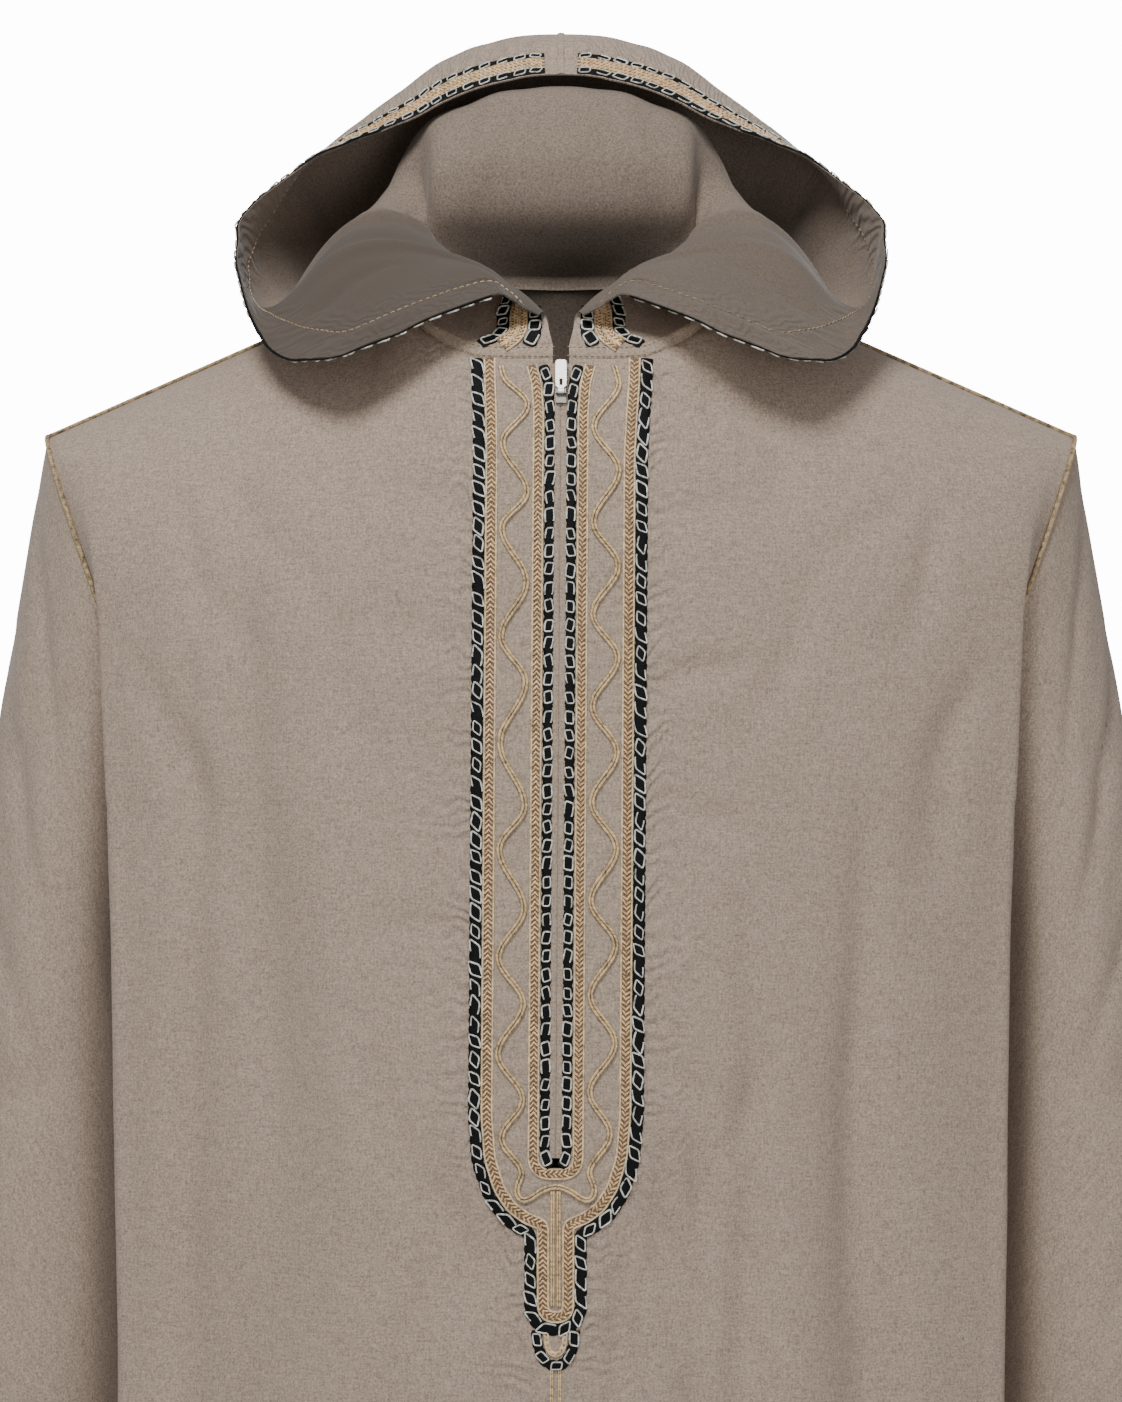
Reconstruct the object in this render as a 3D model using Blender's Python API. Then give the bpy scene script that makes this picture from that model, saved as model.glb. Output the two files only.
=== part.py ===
"""Hooded robe with a zip front and sewn-on braids, as thin cloth walls.

The robe keeps the hollow form it has when it is worn: neck, cuffs and hem are open.
Origin: centre of the neck opening, level with the side neck points.
+X is the wearer's left, the front faces -Y, +Z is up. Sizes are in metres.
"""
import math

import bpy
import bmesh
from mathutils import Matrix, Vector
from mathutils.bvhtree import BVHTree

MM = 0.001

# Cloth walls and seams
WALL = 1.6 * MM
SEAM_INSET = 0.2 * MM
LIFT = 0.4 * MM
TRIM_LIFT = 0.5 * MM

# Neck, shoulders and armholes
SIDE_NECK = Vector((88, 0, 6)) * MM
SHOULDER_TIP = Vector((267, 0, -73)) * MM
FRONT_NECK = [(0, -105, -38), (43, -104, -37), (71.5, -85, -21.5), (84, -45, -5), (88, 0, 6)]
BACK_NECK = [(0, 55, 8), (45, 53, 9), (75, 38, 8.5), (86, 18, 7), (88, 0, 6)]
NECK_STEPS = 6
YOKE_STEPS = 7
ARMHOLE_FOOT_ROW = YOKE_STEPS + 4
SLEEVE_SET_OFF = Vector((0.9, 0, -0.15)) * MM

# Body sections, one row each, in mm:
# z, fold_x, front_fold_y, side_x, front_side_y, back_side_y, front_y, back_y, back_fold_y
SECTIONS = [
    (-170, 235, -72, 232, -58, 58, -126, 104, 70),
    (-200, 234, -73, 226, -54, 54, -128, 106, 71),
    (-235, 233, -74, 218, -40, 40, -129, 107, 72),
    (-258, 232, -74, 213, -22, 22, -130, 108, 72),
    (-270, 231, -74, 211, 0, 0, -130, 109, 72),
    (-330, 229, -75, 207, 0, 0, -131, 110, 73),
    (-385, 228, -76, 206, 0, 0, -132, 111, 74),
    (-443, 227, -77, 206, 0, 0, -133, 112, 75),
    (-505, 226, -78, 206, 0, 0, -134, 113, 76),
    (-575, 225, -79, 207, 0, 0, -136, 115, 77),
    (-660, 228, -81, 213, 0, 0, -139, 118, 79),
    (-750, 241, -83, 238, 0, 0, -143, 123, 82),
    (-860, 258, -86, 273, 0, 0, -148, 129, 86),
    (-980, 276, -89, 305, 0, 0, -154, 136, 90),
    (-1100, 294, -92, 334, 0, 0, -161, 143, 95),
    (-1220, 312, -95, 359, 0, 0, -168, 151, 100),
    (-1340, 330, -98, 382, 0, 0, -175, 158, 105),
]
FLAT_POWER = 2.6
CENTRE_DRIFT = -2.7 * MM
DRIFT_TOP, DRIFT_FOOT = -60 * MM, -440 * MM

# Columns of a panel's half: where each starts (0 to 1 along the neck edge, 1 to 2 along the
# shoulder) and its x at the chest in mm
FRONT_COLUMNS = [(0.024, 4), (0.126, 21), (0.227, 37.8), (0.272, 44.6), (0.41, 64), (0.60, 87),
                 (0.80, 108), (1.0, 128), (1.17, 150), (1.35, 172), (1.53, 192), (1.70, 210), (1.83, 225)]
BACK_COLUMNS = [(0.0, 0), (0.18, 26), (0.38, 54), (0.59, 82), (0.80, 108), (1.0, 130),
                (1.17, 152), (1.35, 173), (1.53, 192), (1.70, 210), (1.83, 224)]
SIDE_STEPS = [(0.0, 1.0), (0.25, 0.78), (0.95, 0.48)]
SIDE_TOPS = (1.88, 1.92, 1.96)
SLIT_FOOT_ROW = YOKE_STEPS + 7

# Largest folds, in mm: x at the top, x at the foot, half width, depth, z where it starts
FRONT_FOLDS = [(-172, -205, 22, 9, -250), (-120, -135, 26, -5, -420), (-70, -92, 20, 7, -560),
               (146, 178, 22, 9, -300), (88, 108, 20, 7, -420), (118, 142, 16, -4, -480)]
BACK_FOLDS = [(-150, -190, 24, 9, -200), (-62, -82, 24, 7, -320), (0, 0, 26, -5, -420),
              (70, 92, 24, 8, -280), (156, 196, 24, 9, -230)]
FOLD_RAMP = 260 * MM
FOLD_FADE = (185, 222)

# Sleeve rings in mm: z, inner x, outer x, half depth
SLEEVE_RINGS = [(-330, 221, 311, 53), (-500, 219, 339, 54), (-660, 223, 363, 52)]
SLEEVE_STEPS = [0, 0.07, 0.16, 0.27, 0.39, 0.51, 0.63, 0.76, 0.88, 1]
SLEEVE_FOLD = 3.5 * MM

# Neck band and hood
BAND_HEIGHT = 6 * MM
BAND_GAP = 0.4 * MM
BAND_THICK = 2 * MM
STRIP_HALF = 2.1 * MM
STRIP_GAP = 0.3 * MM
STRIP_PROUD = 0.6 * MM
TRIM_STEP = 9 * MM
TRIM_EDGE = 0.04
# Hood stations from the throat to the centre seam, one row each, in mm along the cloth:
# stand, rise, roll, back, drop, floor, rear, crest, edge
HOOD_STATIONS = [
    ((5.2, -103.5, -27), (6.2, -101, -23), (7, -98, -18.5), (8.4, -97, -15.8),
     (9.5, -98.5, -15), (10, -100, -15.1), (10.4, -101.3, -15.5), (10.8, -102.6, -16), (11.2, -104, -16.8)),
    ((16.8, -100, -24), (16.6, -93, -16.5), (16.2, -86.5, -10), (18.4, -85, -5.5),
     (21.8, -89, -4.5), (22, -93, -5.5), (21.6, -97, -7.5), (21, -101.5, -10), (20, -106, -12.8)),
    ((38.5, -90, -22), (37.5, -74, -11), (34, -62, 0), (37, -60, 9),
     (43, -65, 11.5), (43, -73, 10), (41, -81, 6.5), (38.5, -88, 2.5), (35, -112, -7.4)),
    ((57, -80, -16), (54, -60, -5), (48, -46, 7), (51, -41, 16),
     (58, -46, 19), (63, -59, 15), (65, -73, 7.5), (66, -89, -2), (69, -122, -21)),
    ((73, -57, 3), (68, -43, 10), (62, -27, 21), (67, -18, 30),
     (77, -22, 33), (88, -41, 24), (95, -62, 8), (102, -86, -12), (109, -120, -39)),
    ((82, -30, 11), (78, -17, 21), (75, -6, 34), (82, 0, 43),
     (93, -4, 44), (112, -24, 29), (124, -41, 11), (134, -62, -11), (144, -88, -34)),
    ((85, 4, 23), (81, 9, 32), (83, 14, 42), (92, 13, 48),
     (107, 9, 43), (127, 12, 18), (144, 8, -2), (158, -8, -6), (166, -36, 4)),
    ((84, 26, 27), (79, 30, 38), (83, 37, 50), (94, 39, 53),
     (108, 42, 41), (124, 48, 9), (144, 44, -1), (162, 30, 14), (166, 12, 44.5)),
    ((72, 40, 34), (70, 42, 50), (75, 50, 66), (87, 57, 67),
     (98, 65, 45), (112, 78, 3), (138, 80, 10), (153, 62, 54), (134, 40, 75)),
    ((63, 32, 46), (67, 34, 74), (69, 50, 95), (76, 66, 93),
     (86, 84, 58), (94, 106, -8), (112, 126, 14), (100, 84, 107), (81.5, 42, 98)),
    ((38, 27, 48), (41, 28, 80), (43, 43, 104), (46, 62, 108),
     (50, 84, 66), (56, 110, -38), (68, 146, -6), (56, 92, 136), (44, 46, 115.5)),
    ((0, 23, 48), (0, 24, 84), (0, 40, 111), (0, 60, 115),
     (0, 86, 66), (0, 124, -72), (0, 168, -8), (0, 96, 147), (0, 46, 122.5)),
]
HOOD_STEPS = [2, 2, 1, 1, 2, 3, 3, 3, 1]
HOOD_BETWEEN = [1, 1, 0, 0, 1, 1, 1, 1, 1, 1, 1]
# The neck point without a station of its own, and the hood column that starts there
NECK_SKIPPED, SKIPPED_COLUMN = 2, 3
TRIM_FIRST_COLUMN = 4
STAND_ROWS = 6

# Braids and cords
ROW_CLEAR = 3 * MM
CORNER_STEPS = 4
BRAID_HEIGHT = 1.3 * MM
GOLD_OUT_X, GOLD_OUT_WIDTH = 34.5 * MM, 6.2 * MM
OUTER_SPACING, DARK_OUT_WIDTH = 6.2 * MM, 5.4 * MM
GOLD_IN_X, GOLD_IN_WIDTH = 11.2 * MM, 5.8 * MM
DARK_IN_X, DARK_IN_WIDTH = 5.3 * MM, 4.6 * MM
WAVE_X, WAVE_REACH, WAVE_WIDTH = 22.9 * MM, 6.5 * MM, 2.6 * MM
WAVE_STEPS = 5
# Heights in mm of the wavy cord's turns on each side, away from the zip and towards it by turns
WAVE_TURNS_LEFT = [-51, -73, -95, -121, -143, -167, -189, -213, -236, -261, -284, -310, -332, -357,
                   -381, -405, -426, -446]
WAVE_TURNS_RIGHT = [-46, -62, -81, -106, -124, -151, -178, -201, -231, -263, -284, -314, -338, -361,
                    -386, -409, -428, -446]
WAVE_LAST_REACH = 4.4 * MM
BRAID_TOP_Z = -42 * MM
FLARE_Z, FLARE = -62 * MM, 3.6 * MM
LOOP_FOOT_Z = -417 * MM
STEM_X = 6.3 * MM
STEM_TOP_Z, STEM_FOOT_Z = -471 * MM, -517 * MM
CORD_RADIUS = 0.9 * MM
CORD_PAIR_X, FRONT_CORD_X = 1.5 * MM, 2.0 * MM
PIPING_RADIUS, PIPING_LIFT = 1.25 * MM, 0.55 * MM

# Zip
TAPE_WIDTH = 7.2 * MM
TAPE_TOP_Z, TAPE_FOOT_Z = -41 * MM, -438 * MM
SLIDER_Z = -57.5 * MM
SLIDER_SIZE = Vector((5.2, 2.0, 8.6)) * MM
LUG_THICK, LUG_DEPTH, LUG_HEIGHT = 0.8 * MM, 2.9 * MM, 2.4 * MM
PIN_RADIUS = 0.45 * MM
EYE_INNER, EYE_OUTER, EYE_HALF = 0.75 * MM, 1.25 * MM, 1.45 * MM
PULL_ROWS = [(1.7, 1.5), (3.0, 2.7), (6.5, 2.8), (11.5, 2.8), (15.6, 2.7), (16.6, 1.9)]
PULL_SLOT_ROW, PULL_SLOT_HALF = 1, 0.8 * MM

# Finishes: colour as linear RGB, roughness, metallic
CLOTH = ("Taupe_Cloth", (0.346, 0.287, 0.250), 0.86, 0.0)
GOLD = ("Gold_Braid", (0.560, 0.420, 0.265), 0.55, 0.15)
DARK = ("Dark_Braid", (0.012, 0.014, 0.020), 0.60, 0.0)
METAL = ("Zip_Metal", (0.640, 0.630, 0.600), 0.30, 0.90)

# Braids on the hood's stand at the throat: name, hood column, share of it covered, finish
STAND_BRAIDS = [("hood_stand_dark_", 1, 1.0, DARK), ("hood_stand_gold_", 2, 1.0, GOLD),
                ("hood_stand_outer_", 3, 0.55, DARK)]


def clear_scene():
    """Remove every object that the scene starts with."""
    for old in list(bpy.data.objects):
        bpy.data.objects.remove(old, do_unlink=True)


def finish(kind):
    """Return the Principled material of a finish, made once."""
    name, colour, roughness, metallic = kind
    material = bpy.data.materials.get(name)
    if material is None:
        material = bpy.data.materials.new(name)
        material.use_nodes = True
        shader = material.node_tree.nodes["Principled BSDF"]
        shader.inputs["Base Color"].default_value = (*colour, 1.0)
        shader.inputs["Roughness"].default_value = roughness
        shader.inputs["Metallic"].default_value = metallic
    return material


def add_object(name, verts, faces, kind):
    """Make an object from vertices and faces, with its faces pointing outwards."""
    mesh = bpy.data.meshes.new(name)
    mesh.from_pydata([tuple(v) for v in verts], [], faces)
    shape = bmesh.new()
    shape.from_mesh(mesh)
    bmesh.ops.recalc_face_normals(shape, faces=shape.faces)
    shape.to_mesh(mesh)
    shape.free()
    thing = bpy.data.objects.new(name, mesh)
    bpy.context.scene.collection.objects.link(thing)
    mesh.materials.append(finish(kind))
    return thing


# Curves

def points(rows):
    """Turn a list of places in mm into vectors in metres."""
    return [Vector(row) * MM for row in rows]


def catmull(p0, p1, p2, p3, t):
    """Point on the smooth curve from p1 to p2."""
    return 0.5 * (2 * p1 + (p2 - p0) * t + (2 * p0 - 5 * p1 + 4 * p2 - p3) * t * t
                  + (3 * p1 - p0 - 3 * p2 + p3) * t ** 3)


def smooth_path(knots, steps):
    """Smooth curve through knots, with a number of steps for each span."""
    padded = [2 * knots[0] - knots[1]] + list(knots) + [2 * knots[-1] - knots[-2]]
    path = [knots[0].copy()]
    for span, count in enumerate(steps):
        for step in range(1, count + 1):
            path.append(catmull(*padded[span:span + 4], step / count))
    return path


def path_length(path):
    """Length of a polyline."""
    return sum((b - a).length for a, b in zip(path, path[1:]))


def at_length(path, distance):
    """Point at a distance along a polyline."""
    for a, b in zip(path, path[1:]):
        span = (b - a).length
        if distance <= span:
            return a.lerp(b, distance / span)
        distance -= span
    return path[-1].copy()


def mirrored(point):
    """The same point on the other side."""
    return Vector((-point.x, point.y, point.z))


# Walls

def grid_normals(rows, closed):
    """Unit normals of a grid of points, from the faces that meet there."""
    height, width = len(rows), len(rows[0])
    sums = [[Vector() for _ in range(width)] for _ in range(height)]
    for r in range(height - 1):
        for c in range(width if closed else width - 1):
            d = (c + 1) % width
            across = rows[r + 1][d] - rows[r][c]
            along = rows[r + 1][c] - rows[r][d]
            normal = along.cross(across)
            for rr, cc in ((r, c), (r, d), (r + 1, c), (r + 1, d)):
                sums[rr][cc] += normal
    return [[n.normalized() for n in row] for row in sums]


def wall(name, rows, normals, kind, closed=False, thick=WALL, hole=None):
    """Closed cloth wall: the grid is its outer face, the inner face lies inwards."""
    height, width = len(rows), len(rows[0])
    hole = hole or set()
    outer = [p for row in rows for p in row]
    inner = [p - n * thick for row, ns in zip(rows, normals) for p, n in zip(row, ns)]
    shift = len(outer)
    quads = []
    for r in range(height - 1):
        for c in range(width if closed else width - 1):
            if (r, c) not in hole:
                d = (c + 1) % width
                quads.append((r * width + c, r * width + d, (r + 1) * width + d, (r + 1) * width + c))
    edges = {}
    for quad in quads:
        for a, b in zip(quad, quad[1:] + quad[:1]):
            edges[(a, b)] = True
    halves = [(q[0], q[1], q[2]) for q in quads] + [(q[0], q[2], q[3]) for q in quads]
    faces = halves + [tuple(i + shift for i in reversed(half)) for half in halves]
    faces += [(b, a, a + shift, b + shift) for a, b in edges if (b, a) not in edges]
    used = sorted({i for face in faces for i in face})
    renumber = {old: new for new, old in enumerate(used)}
    verts = outer + inner
    return add_object(name, [verts[i] for i in used],
                      [tuple(renumber[i] for i in face) for face in faces], kind)


def inset_edge(rows, line, inwards):
    """Move a boundary line of grid points towards its neighbours inside."""
    for (r, c), (ri, ci) in zip(line, inwards):
        rows[r][c] = rows[r][c] + (rows[ri][ci] - rows[r][c]).normalized() * SEAM_INSET


# Body

def fold_depth(folds, x, z, chest_x):
    """How far the largest folds push the cloth inwards at a place, less near the side fold."""
    fade = min(1.0, max(0.0, (FOLD_FADE[1] - chest_x) / (FOLD_FADE[1] - FOLD_FADE[0])))
    depth = 0.0
    for top_x, foot_x, half_width, size, start in folds:
        start *= MM
        if z < start:
            share = (start - z) / (start - SECTIONS[-1][0] * MM)
            centre = (top_x + (foot_x - top_x) * share) * MM
            ramp = min(1.0, (start - z) / FOLD_RAMP)
            depth += fade * size * MM * ramp * math.exp(-((x - centre) / (half_width * MM)) ** 2)
    return depth


def section_point(section, chest_x, side_step, back):
    """Point of a body section: on the front or back face, or behind its side fold."""
    z, fold_x, front_fold, side_x, front_side, back_side, front_y, back_y, back_fold = section
    fold_y = back_fold if back else front_fold
    side_y = back_side if back else front_side
    middle_y = back_y if back else front_y
    if side_step is not None:
        inward, share = side_step
        return Vector((fold_x + (side_x - fold_x) * inward, side_y + (fold_y - side_y) * share, z)) * MM
    widen = (fold_x - SECTIONS[0][1]) * max(0.0, (chest_x - 40) / (SECTIONS[0][1] - 40))
    x = chest_x + widen
    y = fold_y + (middle_y - fold_y) * (1 - (x / fold_x) ** FLAT_POWER)
    return Vector((x, y, z)) * MM


def drift(z):
    """Sideways lean of the front's centre line."""
    share = (z - DRIFT_TOP) / (DRIFT_FOOT - DRIFT_TOP)
    return CENTRE_DRIFT * min(1.0, max(0.0, share))


def top_edge_point(neck, share):
    """Point of a panel's top edge: 0 to 1 along the neck, 1 to 2 along the shoulder."""
    path = smooth_path(points(neck), [NECK_STEPS] * (len(neck) - 1))
    if share <= 1:
        return at_length(path, path_length(path) * share)
    return SIDE_NECK.lerp(SHOULDER_TIP, share - 1)


def panel_rows(neck, columns, back):
    """Grid of a front or back panel, from the neck and shoulder down to the hem."""
    folds = BACK_FOLDS if back else FRONT_FOLDS
    starts = [share for share, _ in columns] + list(SIDE_TOPS) + [2.0]
    chest = [(x, None) for _, x in columns] + [(None, step) for step in SIDE_STEPS] + [(None, (1.0, 0.0))]
    half = []
    for start, (x, side) in zip(starts, chest):
        top = top_edge_point(neck, start)
        foot = section_point(SECTIONS[0], x, side, back)
        neckness = max(0.0, 1 - start)
        column = []
        for step in range(YOKE_STEPS):
            angle = math.pi / 2 * step / YOKE_STEPS
            drop = 1 - math.cos(angle)
            reach = math.sin(angle) * (1 - neckness) + neckness * (1 - (1 - drop) ** 2.2)
            column.append(Vector((top.x + (foot.x - top.x) * drop, top.y + (foot.y - top.y) * reach,
                                  top.z + (foot.z - top.z) * drop)))
        column += [section_point(section, x, side, back) for section in SECTIONS]
        half.append((x if side is None else FOLD_FADE[1], column))
    inner = 0 if starts[0] > 0 else 1
    sheet = [(x, [mirrored(p) for p in column]) for x, column in reversed(half[inner:])] + half
    for chest_x, column in sheet:
        for r, point in enumerate(column):
            share = max(0.0, 1 - abs(point.x) / (100 * MM))
            lean = 0.0 if back else drift(point.z) * share
            push = fold_depth(folds, point.x, point.z, chest_x)
            column[r] = point + Vector((lean, -push if back else push, 0))
    return [list(row) for row in zip(*(column for _, column in sheet))]


def shoulder_up(side):
    """Direction that stands square on a shoulder seam."""
    across = SHOULDER_TIP.x - SIDE_NECK.x
    return Vector((side * (SIDE_NECK.z - SHOULDER_TIP.z), 0, across)).normalized()


def build_body():
    """Front and back panels, joined edge to edge at shoulders and sides."""
    front = panel_rows(FRONT_NECK, FRONT_COLUMNS, False)
    back = panel_rows(BACK_NECK, BACK_COLUMNS, True)
    back = [list(reversed(row)) for row in back]
    front_normals = grid_normals(front, False)
    back_normals = grid_normals(back, False)
    for r in range(ARMHOLE_FOOT_ROW, len(front)):
        for fc, bc in ((0, -1), (-1, 0)):
            shared = (front_normals[r][fc] + back_normals[r][bc]).normalized()
            front_normals[r][fc] = shared
            back_normals[r][bc] = shared
    for rows, normals in ((front, front_normals), (back, back_normals)):
        for c, point in enumerate(rows[0]):
            if abs(point.x) >= SIDE_NECK.x - 0.5 * MM:
                normals[0][c] = shoulder_up(math.copysign(1, point.x))
    return front, back, front_normals, back_normals


def armhole_ring(front, back, side):
    """Armhole points from the shoulder tip down the front and up the back."""
    front_col = -1 if side > 0 else 0
    back_col = 0 if side > 0 else -1
    down = [front[r][front_col] for r in range(ARMHOLE_FOOT_ROW + 1)]
    up = [back[r][back_col] for r in range(ARMHOLE_FOOT_ROW - 1, 0, -1)]
    return down + up


def sleeve_rows(ring, side):
    """Grid of a sleeve from the armhole to the cuff."""
    count = len(ring)
    half = count // 2
    lines = []
    for i, start in enumerate(ring):
        turn = math.pi * i / half
        knots = [start + Vector((SLEEVE_SET_OFF.x * side, 0, SLEEVE_SET_OFF.z))]
        for z, inner, outer, depth in SLEEVE_RINGS:
            middle, reach = (inner + outer) / 2, (outer - inner) / 2
            ripple = 1 + SLEEVE_FOLD / MM / reach * math.cos(3 * turn + 0.6) * 0.5
            knots.append(Vector((side * (middle + reach * ripple * math.cos(turn)),
                                 -depth * ripple * math.sin(turn), z)) * MM)
        smooth = smooth_path(knots, [12] * (len(knots) - 1))
        length = path_length(smooth)
        lines.append([at_length(smooth, share * length) for share in SLEEVE_STEPS])
    return [list(row) for row in zip(*lines)]


def join_armhole(front, back, front_normals, back_normals, side, sleeve_normals):
    """Give panels and sleeve one wall direction where their seam is a ridge."""
    front_col = -1 if side > 0 else 0
    back_col = 0 if side > 0 else -1
    ring = sleeve_normals[0]
    for r in range(5):
        share = 1.0 if r < 4 else 0.5
        for normals, col, i in ((front_normals, front_col, r), (back_normals, back_col, -r % len(ring))):
            own = normals[r][col]
            shared = (own + ring[i]).normalized()
            normals[r][col] = own.lerp(shared, share).normalized()
            ring[i] = ring[i].lerp(shared, share).normalized()
    tip = (front_normals[0][front_col] + back_normals[0][back_col]).normalized()
    front_normals[0][front_col] = tip
    back_normals[0][back_col] = tip
    ring[0] = tip


def build_garment_shell():
    """Front, back and sleeves, each its own wall, with the seams left just open."""
    front, back, front_normals, back_normals = build_body()
    sleeves = {}
    for side, word in ((1, "left"), (-1, "right")):
        rows = sleeve_rows(armhole_ring(front, back, side), side)
        normals = [[n * -side for n in row] for row in grid_normals(rows, True)]
        join_armhole(front, back, front_normals, back_normals, side, normals)
        sleeves[word] = (rows, normals)
    for rows in (front, back):
        width, height = len(rows[0]), len(rows)
        inset_edge(rows, [(0, c) for c in range(width)], [(1, c) for c in range(width)])
        inset_edge(rows, [(r, 0) for r in range(height)], [(r, 1) for r in range(height)])
        inset_edge(rows, [(r, width - 1) for r in range(height)], [(r, width - 2) for r in range(height)])
    middle = len(FRONT_COLUMNS) + len(SIDE_STEPS)
    slit = {(r, middle) for r in range(SLIT_FOOT_ROW)}
    wall("front", front, front_normals, CLOTH, hole=slit)
    wall("back", back, back_normals, CLOTH)
    for word, (rows, normals) in sleeves.items():
        wall("sleeve_" + word, rows, normals, CLOTH, closed=True)
    return front, back, sleeves, front_normals, back_normals


# Neck band and hood

def neck_rise(point):
    """Direction in which the band and the hood stand up from the neck edge."""
    lean = Vector((-point.x * 0.25, -point.y * 0.25, 0))
    return (Vector((0, 0, 100 * MM)) + lean).normalized()


def level_out(path):
    """Level directions away from the neck, along a path round it."""
    out = []
    for i, here in enumerate(path):
        along = path[min(i + 1, len(path) - 1)] - path[max(i - 1, 0)]
        across = Vector((along.y, -along.x, 0)).normalized()
        out.append(across if across.dot(Vector((here.x, here.y + 20 * MM, 0))) > 0 else -across)
    return out


def neck_edge():
    """Left half of the neck edge, at the panels' own columns, from the throat to the nape."""
    front = [top_edge_point(FRONT_NECK, share) for share, _ in FRONT_COLUMNS if share <= 1]
    back = [top_edge_point(BACK_NECK, share) for share, _ in BACK_COLUMNS if share < 1]
    return front + list(reversed(back))


def build_neck_band():
    """Binding that stands on the neck edge, open at the throat."""
    half = neck_edge()
    path = [mirrored(p) for p in half[:-1]] + list(reversed(half))
    rows = [[p + neck_rise(p) * height for p in path] for height in (BAND_GAP + BAND_HEIGHT, BAND_GAP)]
    normals = level_out(path)
    wall("neck_band", rows, [normals, normals], CLOTH, thick=BAND_THICK)


def station_line(neck, station):
    """One hood station, from the band, up, over and out to the hood's edge."""
    start = neck + neck_rise(neck) * (BAND_HEIGHT + 2 * BAND_GAP)
    knots = [start] + points(station)
    line = smooth_path(knots, HOOD_STEPS)
    last = smooth_path(knots[-3:], [8, 8])[8:]
    span = path_length(last)
    step = min(TRIM_STEP, span * 0.31)
    return line[:-1] + [at_length(last, span - step * k) for k in (3, 2, 1)] + [knots[-1]]


def hood_rows():
    """Grid of the hood's left half: rows from the neck to the edge, throat first."""
    neck = neck_edge()
    del neck[NECK_SKIPPED]
    lines = [station_line(start, station) for start, station in zip(neck, HOOD_STATIONS)]
    rows = []
    for r in range(len(lines[0])):
        knots = [line[r] for line in lines]
        padded = [2 * knots[0] - knots[1]] + knots + [mirrored(knots[-2])]
        row = [knots[0]]
        for span, between in enumerate(HOOD_BETWEEN):
            for step in range(1, between + 2):
                share = step / (between + 1)
                smooth = catmull(*padded[span:span + 4], share)
                row.append(knots[span].lerp(knots[span + 1], share) if r == 0 else smooth)
        row[-1] = Vector((STRIP_HALF + STRIP_GAP, row[-1].y, row[-1].z))
        rows.append(row)
    skipped = neck_edge()[NECK_SKIPPED]
    rows[0][SKIPPED_COLUMN] = skipped + neck_rise(skipped) * (BAND_HEIGHT + 2 * BAND_GAP)
    return rows


def trim_strip(name, lines, facing, kind):
    """Braid on the hood's outer face between two lines of its grid."""
    lifted = []
    for k in (0, 1):
        lifted.append([p.lerp(q, TRIM_EDGE) + n * (TRIM_LIFT + BRAID_HEIGHT)
                       for p, q, n in zip(lines[k], lines[1 - k], facing[k])])
    wall(name, lifted, facing, kind, thick=BRAID_HEIGHT)


def edge_trim(name, rows, normals, upper, kind):
    """Braid along the hood's edge, between two of its rows."""
    columns = range(TRIM_FIRST_COLUMN, len(rows[0]) - 1)
    pair = (upper, upper + 1)
    trim_strip(name, [[rows[r][c] for c in columns] for r in pair],
               [[normals[r][c] for c in columns] for r in pair], kind)


def stand_trim(name, rows, normals, column, share, kind):
    """Braid up the hood's stand, from one of its columns towards the next."""
    span = range(STAND_ROWS)
    first = [rows[r][column] for r in span]
    second = [rows[r][column].lerp(rows[r][column + 1], share) for r in span]
    first_facing = [normals[r][column] for r in span]
    second_facing = [normals[r][column].lerp(normals[r][column + 1], share) for r in span]
    trim_strip(name, [first, second], [first_facing, second_facing], kind)


def build_hood():
    """Two hood halves, the strip over their centre seam, and their braids."""
    rows = hood_rows()
    normals = [[-n for n in row] for row in grid_normals(rows, False)]
    normals[0] = level_out(rows[0])
    for row in normals:
        row[-1].x = 0
        row[-1].normalize()
    edge = len(rows) - 1
    strips = (("hood_edge_dark_", edge - 1, DARK), ("hood_edge_gold_", edge - 2, GOLD),
              ("hood_edge_upper_", edge - 3, DARK))
    for word, flip in (("left", False), ("right", True)):
        grid = [[mirrored(p) for p in row] for row in rows] if flip else rows
        facing = [[mirrored(n) for n in row] for row in normals] if flip else normals
        wall("hood_" + word, grid, facing, CLOTH)
        for label, upper, kind in strips:
            edge_trim(label + word, grid, facing, upper, kind)
        for label, column, share, kind in STAND_BRAIDS:
            stand_trim(label + word, grid, facing, column, share, kind)
    middle = [Vector((0, row[-1].y, row[-1].z)) for row in rows]
    strip = [[Vector((x, p.y, p.z)) for x in (-STRIP_HALF, 0, STRIP_HALF)] for p in middle]
    normals = grid_normals(strip, False)
    normals[0] = [Vector((0, 1, 0)) for _ in normals[0]]
    strip = [[p + n * STRIP_PROUD for p, n in zip(row, ns)] for row, ns in zip(strip, normals)]
    wall("hood_centre_strip", strip, normals, CLOTH, thick=WALL + STRIP_PROUD)


# Braids and cords on the front

class Surface:
    """The front's outer face, to lay braids and cords on."""

    def __init__(self, rows):
        verts = [p for row in rows for p in row]
        width = len(rows[0])
        faces = []
        for r in range(len(rows) - 1):
            for c in range(width - 1):
                corners = (r * width + c, r * width + c + 1, (r + 1) * width + c + 1, (r + 1) * width + c)
                faces.append((corners[0], corners[1], corners[2]))
                faces.append((corners[0], corners[2], corners[3]))
        self.tree = BVHTree.FromPolygons(verts, faces)

    def at(self, x, z):
        """Point and outward direction of the cloth at a place seen from the front."""
        point, normal, _, _ = self.tree.ray_cast(Vector((x, -1.0, z)), Vector((0, 1, 0)))
        if normal.y > 0:
            normal = -normal
        return point, normal


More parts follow.
